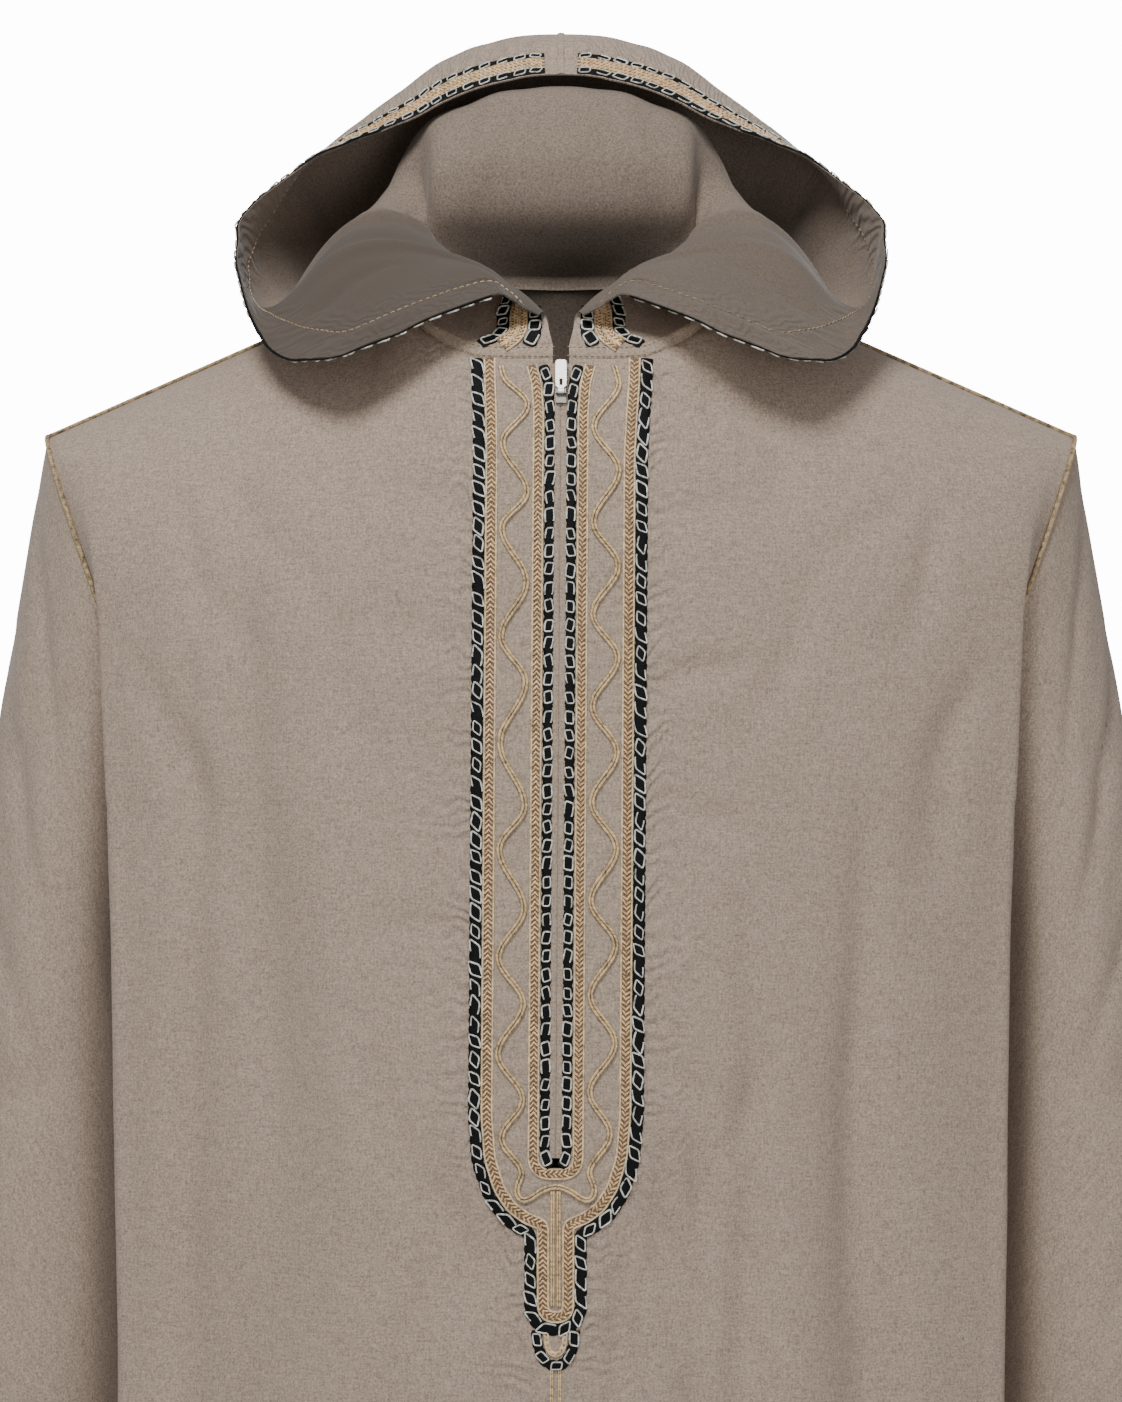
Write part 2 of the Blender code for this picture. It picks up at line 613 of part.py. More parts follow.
def side_offsets(path, width):
    """Left and right edges of a flat braid along a path of (x, z) pairs."""
    left, right = [], []
    for i, here in enumerate(path):
        before = path[i - 1] if i > 0 else None
        after = path[i + 1] if i + 1 < len(path) else None
        first = (here - before).normalized() if before else (after - here).normalized()
        second = (after - here).normalized() if after else first
        along = (first + second).normalized()
        across = Vector((-along.y, along.x))
        stretch = 1 / max(0.5, across.dot(Vector((-second.y, second.x))))
        left.append(here + across * width / 2 * stretch)
        right.append(here - across * width / 2 * stretch)
    return left, right


def braid(name, surface, path, width, kind, height=BRAID_HEIGHT, lift=LIFT):
    """Flat braid of even width laid on the front along a path."""
    left, right = side_offsets([Vector((p.x + drift(p.y), p.y)) for p in path], width)
    verts = []
    for a, b in zip(left, right):
        point_a, normal_a = surface.at(a.x, a.y)
        point_b, normal_b = surface.at(b.x, b.y)
        verts += [point_a + normal_a * lift, point_b + normal_b * lift,
                  point_b + normal_b * (lift + height), point_a + normal_a * (lift + height)]
    faces = [(0, 1, 2, 3)]
    for i in range(len(path) - 1):
        base = 4 * i
        for k in range(4):
            n = (k + 1) % 4
            faces.append((base + k, base + n, base + 4 + n, base + 4 + k))
    last = 4 * (len(path) - 1)
    faces.append((last + 3, last + 2, last + 1, last))
    return add_object(name, verts, faces, kind)


def row_heights():
    """Heights of the front's rows near its centre line."""
    top, foot = FRONT_NECK[0][2] * MM, SECTIONS[0][0] * MM
    yoke = [top + (foot - top) * (1 - math.cos(math.pi / 2 * k / YOKE_STEPS)) for k in range(YOKE_STEPS)]
    return yoke + [section[0] * MM for section in SECTIONS]


def line_down(x, top, foot):
    """Points straight down from top to foot, one at each row of the front that they cross."""
    heights = [z for z in row_heights() if foot + ROW_CLEAR < z < top - ROW_CLEAR]
    return [Vector((x, z)) for z in [top] + heights + [foot]]


def flared(path):
    """Spread the upper ends of a path outwards at the throat."""
    out = []
    for p in path:
        share = max(0.0, (p.y - FLARE_Z) / (BRAID_TOP_Z - FLARE_Z))
        out.append(Vector((p.x + math.copysign(FLARE * share * share, p.x), p.y)))
    return out


def corner_arc(centre, radius, start, end):
    """Points of a round corner."""
    turns = [math.radians(start + (end - start) * k / CORNER_STEPS) for k in range(CORNER_STEPS + 1)]
    return [Vector((centre[0] + radius * math.cos(t), centre[1] + radius * math.sin(t))) for t in turns]


def both_sides(left):
    """A path down the left of the centre line and back up its other side."""
    return left + [Vector((-p.x, p.y)) for p in reversed(left) if p.x < -1e-6]


def u_loop(x, top, foot, radius):
    """Half of a U, from its upper end to the middle of its foot."""
    side = line_down(-x, top, foot + radius)
    return side + corner_arc((-x + radius, foot + radius), radius, 180, 270)[1:]


def wave_side(side, turns):
    """Wavy cord down one side, through its turns."""
    reaches = [WAVE_REACH if k % 2 == 0 else -WAVE_REACH for k in range(len(turns))]
    reaches[-2] = WAVE_LAST_REACH
    path = [Vector((side * (WAVE_X + reaches[0]), turns[0] * MM))]
    for k in range(len(turns) - 1):
        for step in range(1, WAVE_STEPS + 1):
            share = step / WAVE_STEPS
            ease = (1 - math.cos(math.pi * share)) / 2
            x = WAVE_X + reaches[k] + (reaches[k + 1] - reaches[k]) * ease
            z = turns[k] + (turns[k + 1] - turns[k]) * share
            path.append(Vector((side * x, z * MM)))
    return path


def build_placket(front):
    """Braids and cords down the front."""
    surface = Surface(front)
    shoulder_gold = [Vector(p) * MM for p in ((-32.8, -438), (-28.2, -453), (-22, -462.5), (-14.5, -468))]
    gold = line_down(-GOLD_OUT_X, BRAID_TOP_Z, LOOP_FOOT_Z) + shoulder_gold
    gold = both_sides(gold + u_loop(STEM_X, STEM_TOP_Z, STEM_FOOT_Z, 5 * MM))
    dark, _ = side_offsets(gold, -2 * OUTER_SPACING)
    braid("placket_gold_outer", surface, gold, GOLD_OUT_WIDTH, GOLD)
    braid("placket_dark_outer", surface, dark, DARK_OUT_WIDTH, DARK)
    for label, x, foot, radius, width, kind in (
            ("gold", GOLD_IN_X, -446 * MM, 7 * MM, GOLD_IN_WIDTH, GOLD),
            ("dark", DARK_IN_X, -440 * MM, 4.2 * MM, DARK_IN_WIDTH, DARK)):
        loop = flared(u_loop(x, BRAID_TOP_Z, foot, radius))
        braid("placket_" + label + "_inner", surface, both_sides(loop), width, kind)

    turn = [(-18.4, -449.8), (-19.6, -453.8), (-18.6, -457.6), (-15.8, -459.3), (-12.4, -457.9),
            (-8.6, -455), (-4.4, -452.8), (0, -451.9)]
    turn = [Vector(p) * MM for p in turn]
    down = wave_side(-1, WAVE_TURNS_RIGHT)
    up = wave_side(1, WAVE_TURNS_LEFT)
    path = down + turn + [Vector((-p.x, p.y)) for p in reversed(turn[:-1])] + list(reversed(up))
    braid("placket_wave_cord", surface, path, WAVE_WIDTH, GOLD)

    for word, side in (("left", 1), ("right", -1)):
        stem = line_down(side * CORD_PAIR_X, -454.4 * MM, -511.5 * MM)
        braid("stem_cord_" + word, surface, stem, 2 * CORD_RADIUS, GOLD)
        trail = line_down(side * FRONT_CORD_X, -543 * MM, SECTIONS[-1][0] * MM + 2 * MM)
        braid("front_cord_" + word, surface, trail, 2 * CORD_RADIUS, GOLD)
    tip_gold = both_sides(u_loop(4.4 * MM, -527 * MM, -535 * MM, 3.6 * MM))
    tip_dark = both_sides(u_loop(8.6 * MM, -527 * MM, -539.4 * MM, 5.5 * MM))
    braid("tip_gold", surface, tip_gold, 2.8 * MM, GOLD)
    braid("tip_dark", surface, tip_dark, 4.6 * MM, DARK)
    return surface


def tube(name, path, radius, kind, sides=6):
    """Round cord with closed ends along a path."""
    verts, faces = [], []
    reference = Vector((0.3, 0.5, 0.8))
    for i, here in enumerate(path):
        before = path[max(0, i - 1)]
        after = path[min(len(path) - 1, i + 1)]
        along = (after - before).normalized()
        across = (reference - along * reference.dot(along)).normalized()
        reference = across
        upright = along.cross(across)
        for k in range(sides):
            turn = 2 * math.pi * k / sides
            verts.append(here + (across * math.cos(turn) + upright * math.sin(turn)) * radius)
    for i in range(len(path) - 1):
        for k in range(sides):
            n = (k + 1) % sides
            faces.append((i * sides + k, i * sides + n, (i + 1) * sides + n, (i + 1) * sides + k))
    faces.append(tuple(reversed(range(sides))))
    faces.append(tuple(range((len(path) - 1) * sides, len(path) * sides)))
    return add_object(name, verts, faces, kind)


def build_piping(front, back, sleeves, front_normals, back_normals):
    """Cords over the shoulder seams and round the armholes."""
    for word, side in (("left", 1), ("right", -1)):
        path = []
        for k in range(7):
            point = SIDE_NECK.lerp(SHOULDER_TIP, 0.02 + 0.95 * k / 6)
            path.append(Vector((point.x * side, point.y, point.z))
                        + shoulder_up(side) * (PIPING_RADIUS + PIPING_LIFT))
        tube("shoulder_piping_" + word, path, PIPING_RADIUS, GOLD)
        rows, normals = sleeves[word]
        ring, ring_normals = rows[0], normals[0]
        count = len(ring)
        reach = YOKE_STEPS + 2
        path = []
        for i in range(-reach, reach + 1):
            panel, panel_normals = (front, front_normals) if i >= 0 else (back, back_normals)
            col = (-1 if side > 0 else 0) if i >= 0 else (0 if side > 0 else -1)
            seam = (panel[abs(i)][col] + ring[i % count]) / 2
            total = panel_normals[abs(i)][col] + ring_normals[i % count]
            spread = max(0.8, total.length) / 2
            path.append(seam + total.normalized() * (PIPING_RADIUS + PIPING_LIFT) / spread)
        tube("armhole_piping_" + word, path, PIPING_RADIUS, GOLD)


# Zip

def box(name, centre, size, kind):
    """Plain block."""
    verts = []
    for k in (-1, 1):
        for j in (-1, 1):
            for i in (-1, 1):
                verts.append(centre + Vector((i * size.x, j * size.y, k * size.z)) / 2)
    faces = [(0, 1, 3, 2), (4, 6, 7, 5), (0, 4, 5, 1), (2, 3, 7, 6), (0, 2, 6, 4), (1, 5, 7, 3)]
    return add_object(name, verts, faces, kind)


def join_solids(target, tool):
    """Fuse a helper solid into a piece and keep the helper out of sight."""
    modifier = target.modifiers.new(tool.name, "BOOLEAN")
    modifier.operation = "UNION"
    modifier.solver = "EXACT"
    modifier.object = tool
    tool.display_type = "WIRE"
    tool.hide_render = True


def build_zip(surface):
    """Closed zip in the front slit, with its slider and pull tab."""
    path = line_down(0, TAPE_TOP_Z, TAPE_FOOT_Z)
    braid("zip_tape", surface, path, TAPE_WIDTH, CLOTH, height=1.3 * MM, lift=-1.4 * MM)
    above, _ = surface.at(0, SLIDER_Z + SLIDER_SIZE.z)
    below, _ = surface.at(0, SLIDER_Z - SLIDER_SIZE.z)
    lean = math.atan2(above.y - below.y, above.z - below.z)
    face = surface.at(0, SLIDER_Z)[0].lerp((above + below) / 2, 0.5)
    turn = Matrix.Rotation(-lean, 4, "X")
    seat = Vector((0, -(SLIDER_SIZE.y / 2 + 0.5 * MM), 0))
    slider = box("zip_slider", Vector(), SLIDER_SIZE, METAL)
    front_y = -SLIDER_SIZE.y / 2
    pin = Vector((0, front_y - 1.8 * MM, 1.2 * MM))
    for label, side in (("lug_left", 1), ("lug_right", -1)):
        lug_x = side * (SLIDER_SIZE.x - LUG_THICK - 0.1 * MM) / 2
        centre = Vector((lug_x, front_y - LUG_DEPTH / 2 + 0.3 * MM, pin.z))
        join_solids(slider, box(label, centre, Vector((LUG_THICK, LUG_DEPTH, LUG_HEIGHT)), METAL))
    across = Vector((2.0 * MM, 0, 0))
    join_solids(slider, tube("pin", [pin - across, pin + across], PIN_RADIUS, METAL, sides=8))
    place = Matrix.Translation(face + turn @ seat) @ turn
    slider.matrix_world = place
    for modifier in slider.modifiers:
        modifier.object.parent = slider
    pull = build_pull()
    pull.matrix_world = place @ Matrix.Translation(pin)


def build_pull():
    """Pull tab: an eye round the slider's pin, at its origin, and a plate with a slot above it."""
    sides = 8
    columns = [-EYE_HALF, -PULL_SLOT_HALF, PULL_SLOT_HALF, EYE_HALF]
    verts, faces = [], []

    def ring(radius, x):
        """Vertices of a ring round the pin, its flat segment on top."""
        first = len(verts)
        for k in range(sides):
            turn = math.pi / 2 - math.pi / sides + 2 * math.pi * k / sides
            verts.append(Vector((x, radius * math.cos(turn), radius * math.sin(turn))))
        return first

    outer = [ring(EYE_OUTER, x) for x in columns]
    inner = [ring(EYE_INNER, x) for x in columns]
    for k in range(sides):
        n = (k + 1) % sides
        for a, b in zip(range(3), range(1, 4)):
            if k > 0:
                faces.append((outer[a] + k, outer[b] + k, outer[b] + n, outer[a] + n))
            faces.append((inner[a] + k, inner[a] + n, inner[b] + n, inner[b] + k))
        faces.append((outer[0] + k, outer[0] + n, inner[0] + n, inner[0] + k))
        faces.append((outer[3] + k, inner[3] + k, inner[3] + n, outer[3] + n))
    half_thick = EYE_OUTER * math.sin(math.pi / sides)
    back_side = [list(outer)]
    front_side = [[start + 1 for start in outer]]
    for height, half in PULL_ROWS:
        xs = (-half * MM, -PULL_SLOT_HALF, PULL_SLOT_HALF, half * MM)
        back_row, front_row = [], []
        for x in xs:
            back_row.append(len(verts))
            verts.append(Vector((x, half_thick, height * MM)))
        for x in xs:
            front_row.append(len(verts))
            verts.append(Vector((x, -half_thick, height * MM)))
        back_side.append(back_row)
        front_side.append(front_row)
    for r in range(len(back_side) - 1):
        for c in range(3):
            if r == PULL_SLOT_ROW + 1 and c == 1:
                continue
            for grid in (back_side, front_side):
                faces.append((grid[r][c], grid[r][c + 1], grid[r + 1][c + 1], grid[r + 1][c]))
        for c in (0, 3):
            faces.append((back_side[r][c], front_side[r][c], front_side[r + 1][c], back_side[r + 1][c]))
    top = len(back_side) - 1
    slot = PULL_SLOT_ROW + 1
    for c in range(3):
        faces.append((back_side[top][c], back_side[top][c + 1], front_side[top][c + 1], front_side[top][c]))
    for c in (1, 2):
        faces.append((back_side[slot][c], front_side[slot][c],
                      front_side[slot + 1][c], back_side[slot + 1][c]))
    for r in (slot, slot + 1):
        faces.append((back_side[r][1], back_side[r][2], front_side[r][2], front_side[r][1]))
    return add_object("zip_pull", verts, faces, METAL)


def main():
    """Build every piece of the robe."""
    clear_scene()
    front, back, sleeves, front_normals, back_normals = build_garment_shell()
    build_neck_band()
    build_hood()
    surface = build_placket(front)
    build_piping(front, back, sleeves, front_normals, back_normals)
    build_zip(surface)


main()
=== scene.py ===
"""Hooded robe with a braided zip front: cloth, braids, cords, zip and a plain studio.

The robe's solids are loaded as a fixed frame. Each operator makes a visible piece over the
solid that it stands for, at the same place. Sizes are in metres, +X is the wearer's left,
the front faces -Y and +Z is up.
"""
import functools
import math
import random

import bpy
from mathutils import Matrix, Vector, noise
from mathutils.bvhtree import BVHTree


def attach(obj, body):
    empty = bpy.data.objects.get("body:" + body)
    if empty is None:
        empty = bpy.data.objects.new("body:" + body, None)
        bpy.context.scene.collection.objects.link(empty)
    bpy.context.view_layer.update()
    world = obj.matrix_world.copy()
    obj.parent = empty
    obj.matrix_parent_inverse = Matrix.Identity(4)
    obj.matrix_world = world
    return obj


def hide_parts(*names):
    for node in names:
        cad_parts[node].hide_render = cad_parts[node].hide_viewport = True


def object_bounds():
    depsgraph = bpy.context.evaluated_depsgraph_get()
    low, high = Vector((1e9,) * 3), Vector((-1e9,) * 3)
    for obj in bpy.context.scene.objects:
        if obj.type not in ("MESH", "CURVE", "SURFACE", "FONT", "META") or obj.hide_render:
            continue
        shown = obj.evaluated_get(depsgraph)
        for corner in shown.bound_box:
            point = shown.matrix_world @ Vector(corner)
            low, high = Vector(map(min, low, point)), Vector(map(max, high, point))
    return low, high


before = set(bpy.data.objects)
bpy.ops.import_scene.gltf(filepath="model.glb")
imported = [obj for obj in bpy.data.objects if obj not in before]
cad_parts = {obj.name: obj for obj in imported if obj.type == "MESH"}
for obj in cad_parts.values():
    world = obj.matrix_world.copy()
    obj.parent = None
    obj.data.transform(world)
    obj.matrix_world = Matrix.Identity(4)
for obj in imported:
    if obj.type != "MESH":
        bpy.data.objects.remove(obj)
CAD_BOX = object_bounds()

bl_info = {
    "name": "Hooded Robe",
    "version": (1, 0, 0),
    "blender": (4, 5, 0),
    "location": "View3D > Sidebar > Robe",
    "description": "Builds a hooded robe with braids, cords and a zip, and a plain studio",
    "category": "Object",
}

MM = 0.001
SIDES = (("left", 1), ("right", -1))


def rgb(hex_code):
    """Linear colour of an sRGB hex code."""
    parts = [int(hex_code[i:i + 2], 16) / 255 for i in (0, 2, 4)]
    return tuple(c / 12.92 if c <= 0.04045 else ((c + 0.055) / 1.055) ** 2.4 for c in parts)


# Sizes of the solids

# Neck, shoulders and armholes
SIDE_NECK = Vector((88, 0, 6)) * MM
SHOULDER_TIP = Vector((267, 0, -73)) * MM
FRONT_NECK = [(0, -105, -38), (43, -104, -37), (71.5, -85, -21.5), (84, -45, -5), (88, 0, 6)]
BACK_NECK = [(0, 55, 8), (45, 53, 9), (75, 38, 8.5), (86, 18, 7), (88, 0, 6)]
NECK_STEPS = 6
YOKE_STEPS = 7
ARMHOLE_FOOT_ROW = YOKE_STEPS + 4
SLEEVE_SET_OFF = Vector((0.9, 0, -0.15)) * MM

# Body sections, one row each, in mm:
# z, fold_x, front_fold_y, side_x, front_side_y, back_side_y, front_y, back_y, back_fold_y
SECTIONS = [
    (-170, 235, -72, 232, -58, 58, -126, 104, 70),
    (-200, 234, -73, 226, -54, 54, -128, 106, 71),
    (-235, 233, -74, 218, -40, 40, -129, 107, 72),
    (-258, 232, -74, 213, -22, 22, -130, 108, 72),
    (-270, 231, -74, 211, 0, 0, -130, 109, 72),
    (-330, 229, -75, 207, 0, 0, -131, 110, 73),
    (-385, 228, -76, 206, 0, 0, -132, 111, 74),
    (-443, 227, -77, 206, 0, 0, -133, 112, 75),
    (-505, 226, -78, 206, 0, 0, -134, 113, 76),
    (-575, 225, -79, 207, 0, 0, -136, 115, 77),
    (-660, 228, -81, 213, 0, 0, -139, 118, 79),
    (-750, 241, -83, 238, 0, 0, -143, 123, 82),
    (-860, 258, -86, 273, 0, 0, -148, 129, 86),
    (-980, 276, -89, 305, 0, 0, -154, 136, 90),
    (-1100, 294, -92, 334, 0, 0, -161, 143, 95),
    (-1220, 312, -95, 359, 0, 0, -168, 151, 100),
    (-1340, 330, -98, 382, 0, 0, -175, 158, 105),
]
FLAT_POWER = 2.6
CENTRE_DRIFT = -2.7 * MM
DRIFT_TOP, DRIFT_FOOT = -60 * MM, -440 * MM

# Columns of a panel's half: where each starts (0 to 1 along the neck edge, 1 to 2 along the
# shoulder) and its x at the chest in mm
FRONT_COLUMNS = [(0.024, 4), (0.126, 21), (0.227, 37.8), (0.272, 44.6), (0.41, 64), (0.60, 87),
                 (0.80, 108), (1.0, 128), (1.17, 150), (1.35, 172), (1.53, 192), (1.70, 210), (1.83, 225)]
BACK_COLUMNS = [(0.0, 0), (0.18, 26), (0.38, 54), (0.59, 82), (0.80, 108), (1.0, 130),
                (1.17, 152), (1.35, 173), (1.53, 192), (1.70, 210), (1.83, 224)]
SIDE_STEPS = [(0.0, 1.0), (0.25, 0.78), (0.95, 0.48)]
SIDE_TOPS = (1.88, 1.92, 1.96)
SLIT_FOOT_ROW = YOKE_STEPS + 7

# Largest folds, in mm: x at the top, x at the foot, half width, depth, z where it starts
FRONT_FOLDS = [(-172, -205, 22, 9, -250), (-120, -135, 26, -5, -420), (-70, -92, 20, 7, -560),
               (146, 178, 22, 9, -300), (88, 108, 20, 7, -420), (118, 142, 16, -4, -480)]
BACK_FOLDS = [(-150, -190, 24, 9, -200), (-62, -82, 24, 7, -320), (0, 0, 26, -5, -420),
              (70, 92, 24, 8, -280), (156, 196, 24, 9, -230)]
FOLD_RAMP = 260 * MM
FOLD_FADE = (185, 222)

# Sleeve rings in mm: z, inner x, outer x, half depth
SLEEVE_RINGS = [(-330, 221, 311, 53), (-500, 219, 339, 54), (-660, 223, 363, 52)]
SLEEVE_STEPS = [0, 0.07, 0.16, 0.27, 0.39, 0.51, 0.63, 0.76, 0.88, 1]
SLEEVE_FOLD = 3.5 * MM

# Neck band and hood
BAND_HEIGHT = 6 * MM
BAND_GAP = 0.4 * MM
BAND_THICK = 2 * MM
STRIP_HALF = 2.1 * MM
STRIP_GAP = 0.3 * MM
TRIM_STEP = 9 * MM
# Hood stations from the throat to the centre seam, one row each, in mm along the cloth:
# stand, rise, roll, back, drop, floor, rear, crest, edge
HOOD_STATIONS = [
    ((5.2, -103.5, -27), (6.2, -101, -23), (7, -98, -18.5), (8.4, -97, -15.8),
     (9.5, -98.5, -15), (10, -100, -15.1), (10.4, -101.3, -15.5), (10.8, -102.6, -16), (11.2, -104, -16.8)),
    ((16.8, -100, -24), (16.6, -93, -16.5), (16.2, -86.5, -10), (18.4, -85, -5.5),
     (21.8, -89, -4.5), (22, -93, -5.5), (21.6, -97, -7.5), (21, -101.5, -10), (20, -106, -12.8)),
    ((38.5, -90, -22), (37.5, -74, -11), (34, -62, 0), (37, -60, 9),
     (43, -65, 11.5), (43, -73, 10), (41, -81, 6.5), (38.5, -88, 2.5), (35, -112, -7.4)),
    ((57, -80, -16), (54, -60, -5), (48, -46, 7), (51, -41, 16),
     (58, -46, 19), (63, -59, 15), (65, -73, 7.5), (66, -89, -2), (69, -122, -21)),
    ((73, -57, 3), (68, -43, 10), (62, -27, 21), (67, -18, 30),
     (77, -22, 33), (88, -41, 24), (95, -62, 8), (102, -86, -12), (109, -120, -39)),
    ((82, -30, 11), (78, -17, 21), (75, -6, 34), (82, 0, 43),
     (93, -4, 44), (112, -24, 29), (124, -41, 11), (134, -62, -11), (144, -88, -34)),
    ((85, 4, 23), (81, 9, 32), (83, 14, 42), (92, 13, 48),
     (107, 9, 43), (127, 12, 18), (144, 8, -2), (158, -8, -6), (166, -36, 4)),
    ((84, 26, 27), (79, 30, 38), (83, 37, 50), (94, 39, 53),
     (108, 42, 41), (124, 48, 9), (144, 44, -1), (162, 30, 14), (166, 12, 44.5)),
    ((72, 40, 34), (70, 42, 50), (75, 50, 66), (87, 57, 67),
     (98, 65, 45), (112, 78, 3), (138, 80, 10), (153, 62, 54), (134, 40, 75)),
    ((63, 32, 46), (67, 34, 74), (69, 50, 95), (76, 66, 93),
     (86, 84, 58), (94, 106, -8), (112, 126, 14), (100, 84, 107), (81.5, 42, 98)),
    ((38, 27, 48), (41, 28, 80), (43, 43, 104), (46, 62, 108),
     (50, 84, 66), (56, 110, -38), (68, 146, -6), (56, 92, 136), (44, 46, 115.5)),
    ((0, 23, 48), (0, 24, 84), (0, 40, 111), (0, 60, 115),
     (0, 86, 66), (0, 124, -72), (0, 168, -8), (0, 96, 147), (0, 46, 122.5)),
]
HOOD_STEPS = [2, 2, 1, 1, 2, 3, 3, 3, 1]
HOOD_BETWEEN = [1, 1, 0, 0, 1, 1, 1, 1, 1, 1, 1]
# The neck point without a station of its own, and the hood column that starts there
NECK_SKIPPED, SKIPPED_COLUMN = 2, 3
TRIM_FIRST_COLUMN = 4
STAND_ROWS = 6

# Braids and cords
ROW_CLEAR = 3 * MM
CORNER_STEPS = 4
BRAID_HEIGHT = 1.3 * MM
GOLD_OUT_X, GOLD_OUT_WIDTH = 34.5 * MM, 6.2 * MM
OUTER_SPACING, DARK_OUT_WIDTH = 6.2 * MM, 5.4 * MM
GOLD_IN_X, GOLD_IN_WIDTH = 11.2 * MM, 5.8 * MM
DARK_IN_X, DARK_IN_WIDTH = 5.3 * MM, 4.6 * MM
WAVE_X, WAVE_REACH = 22.9 * MM, 6.5 * MM
WAVE_STEPS = 5
# Heights in mm of the wavy cord's turns on each side, away from the zip and towards it by turns
WAVE_TURNS_LEFT = [-51, -73, -95, -121, -143, -167, -189, -213, -236, -261, -284, -310, -332, -357,
                   -381, -405, -426, -446]
WAVE_TURNS_RIGHT = [-46, -62, -81, -106, -124, -151, -178, -201, -231, -263, -284, -314, -338, -361,
                    -386, -409, -428, -446]
WAVE_LAST_REACH = 4.4 * MM
BRAID_TOP_Z = -42 * MM
FLARE_Z, FLARE = -62 * MM, 3.6 * MM
LOOP_FOOT_Z = -417 * MM
STEM_X = 6.3 * MM
STEM_TOP_Z, STEM_FOOT_Z = -471 * MM, -517 * MM
CORD_RADIUS = 0.9 * MM
CORD_PAIR_X, FRONT_CORD_X = 1.5 * MM, 2.0 * MM
PIPING_RADIUS = 1.25 * MM

# Zip: the tape, the two cloth lips over it and their stitches, as they show
TAPE_WIDTH, TAPE_HEIGHT, TAPE_SINK = 8.4 * MM, 0.5 * MM, 0.9 * MM
LIP_X, LIP_WIDTH, LIP_HEIGHT, LIP_SINK = 2.22 * MM, 4.1 * MM, 0.75 * MM, 0.2 * MM
LIP_STITCH_X, LIP_STITCH_RISE = 3.1 * MM, 0.45 * MM
TAPE_TOP_Z, TAPE_FOOT_Z = -41 * MM, -438 * MM

# Visible widths of the cords and of the braids round the tip, and the dark braids' height
WAVE_CORD, STEM_CORD, FRONT_CORD = 3.1 * MM, 2.4 * CORD_RADIUS, 1.9 * CORD_RADIUS
TIP_GOLD_WIDTH, TIP_DARK_WIDTH = 2.8 * MM, 4.6 * MM
DARK_HEIGHT = BRAID_HEIGHT * 0.8
# Whipped loops on the front's dark braids: braid, width, slant, seed, share of open hooks
FRONT_LOOPS = [("dark_outer", DARK_OUT_WIDTH, 0.62, 3, 0.50),
               ("dark_inner_left", DARK_IN_WIDTH, 0.16, 8, 0.18),
               ("dark_inner_right", DARK_IN_WIDTH, -0.16, 12, 0.18),
               ("tip_dark", TIP_DARK_WIDTH, 0.2, 5, 0.4)]
# Braids along the hood's edge: name, distances from the edge in mm at the side and the top, width
EDGE_BRAIDS = [("dark", (2.7, 3.8), 5.4), ("gold", (9.8, 11.0), 8.8), ("upper", (15.6, 16.8), 3.0)]
# The edge's gold braid: its plaits, and the cords beside them, in mm from its middle
EDGE_PLAITS, EDGE_PLAIT_WIDTH = (-2.8, 0.0, 2.8), 2.4 * MM
EDGE_CORDS, EDGE_CORD_RADIUS = (-4.3, -1.4, 1.4, 4.3), 0.48 * MM
# Braids on the hood's stand at the throat: name, hood column, share of it covered, finish
STAND_BRAIDS = [("hood_stand_dark_", 1, 1.0, "dark"), ("hood_stand_gold_", 2, 1.0, "gold"),
                ("hood_stand_outer_", 3, 0.55, "dark")]
# The stand's gold braids, in mm from the middle of their column
STAND_GOLDS, STAND_GOLD_WIDTH = (-2.6, 2.4), 5.0 * MM
# Stitches of the hood's facing: the station where they start, and their distance from its edge in mm
FACING_FIRST_COLUMN, FACING_DISTANCE = 2, 25.0
# Cross-sections in mm: centre strip (across, lift), neck band (height, bulge) and a stitch (along, up)
STRIP_SECTION = [(-2.1, -0.2), (-1.7, 0.5), (-0.8, 0.75), (0, 0.8), (0.8, 0.75), (1.7, 0.5), (2.1, -0.2)]
BAND_SECTION = [(6.6, 0.1), (5.9, 0.5), (4.8, 0.75), (3.2, 0.8), (1.6, 0.75), (0.5, 0.5), (-0.3, 0.15)]
BAND_STITCHES = [("low", 0.9), ("high", 5.6)]
STITCH = [(-1, -0.3), (-0.7, 0.12), (0, 0.25), (0.7, 0.12), (1, -0.3)]
# A strand of the plaited braids: place across from -1 to 1, lift in mm
STRAND = [(-1, -0.15), (-0.6, 0.25), (-0.2, 0.2), (0, 0.0), (0.2, 0.2), (0.6, 0.25), (1, -0.15)]

# Turns in mm of the braids round the tip, as pairs of (x, z), on one side
SHOULDER_GOLD = [(-32.8, -438), (-28.2, -453), (-22, -462.5), (-14.5, -468)]
WAVE_FOOT = [(-18.4, -449.8), (-19.6, -453.8), (-18.6, -457.6), (-15.8, -459.3), (-12.4, -457.9),
             (-8.6, -455), (-4.4, -452.8), (0, -451.9)]
TIP_GOLD = [(-4.8, -524.6), (-4.4, -530), (-3, -534.4), (0, -536)]
TIP_DARK = [(-9.6, -523.4), (-9, -530), (-7.2, -536.4), (-3.8, -540.4), (0, -541.4)]
INNER_FOOT = [(-5.0, -438), (-3.7, -441.2), (-2.5, -442.4)]

# Studio: name, place, aim and width of each light; place of the camera
LIGHTS = [("Key", (-0.45, -1.5, 1.6), (0, 0, -0.2), 0.8), ("Fill", (0.9, -2.5, -0.55), (0, 0, -0.2), 1.4),
          ("Top", (0.1, 0.2, 1.8), (0, 0, -0.1), 1.2)]
CAMERA_PLACE = (0.0, -2.8, -0.2105)
FLOOR_HALF, FLOOR_GAP = 4.0, 2 * MM


# Curves


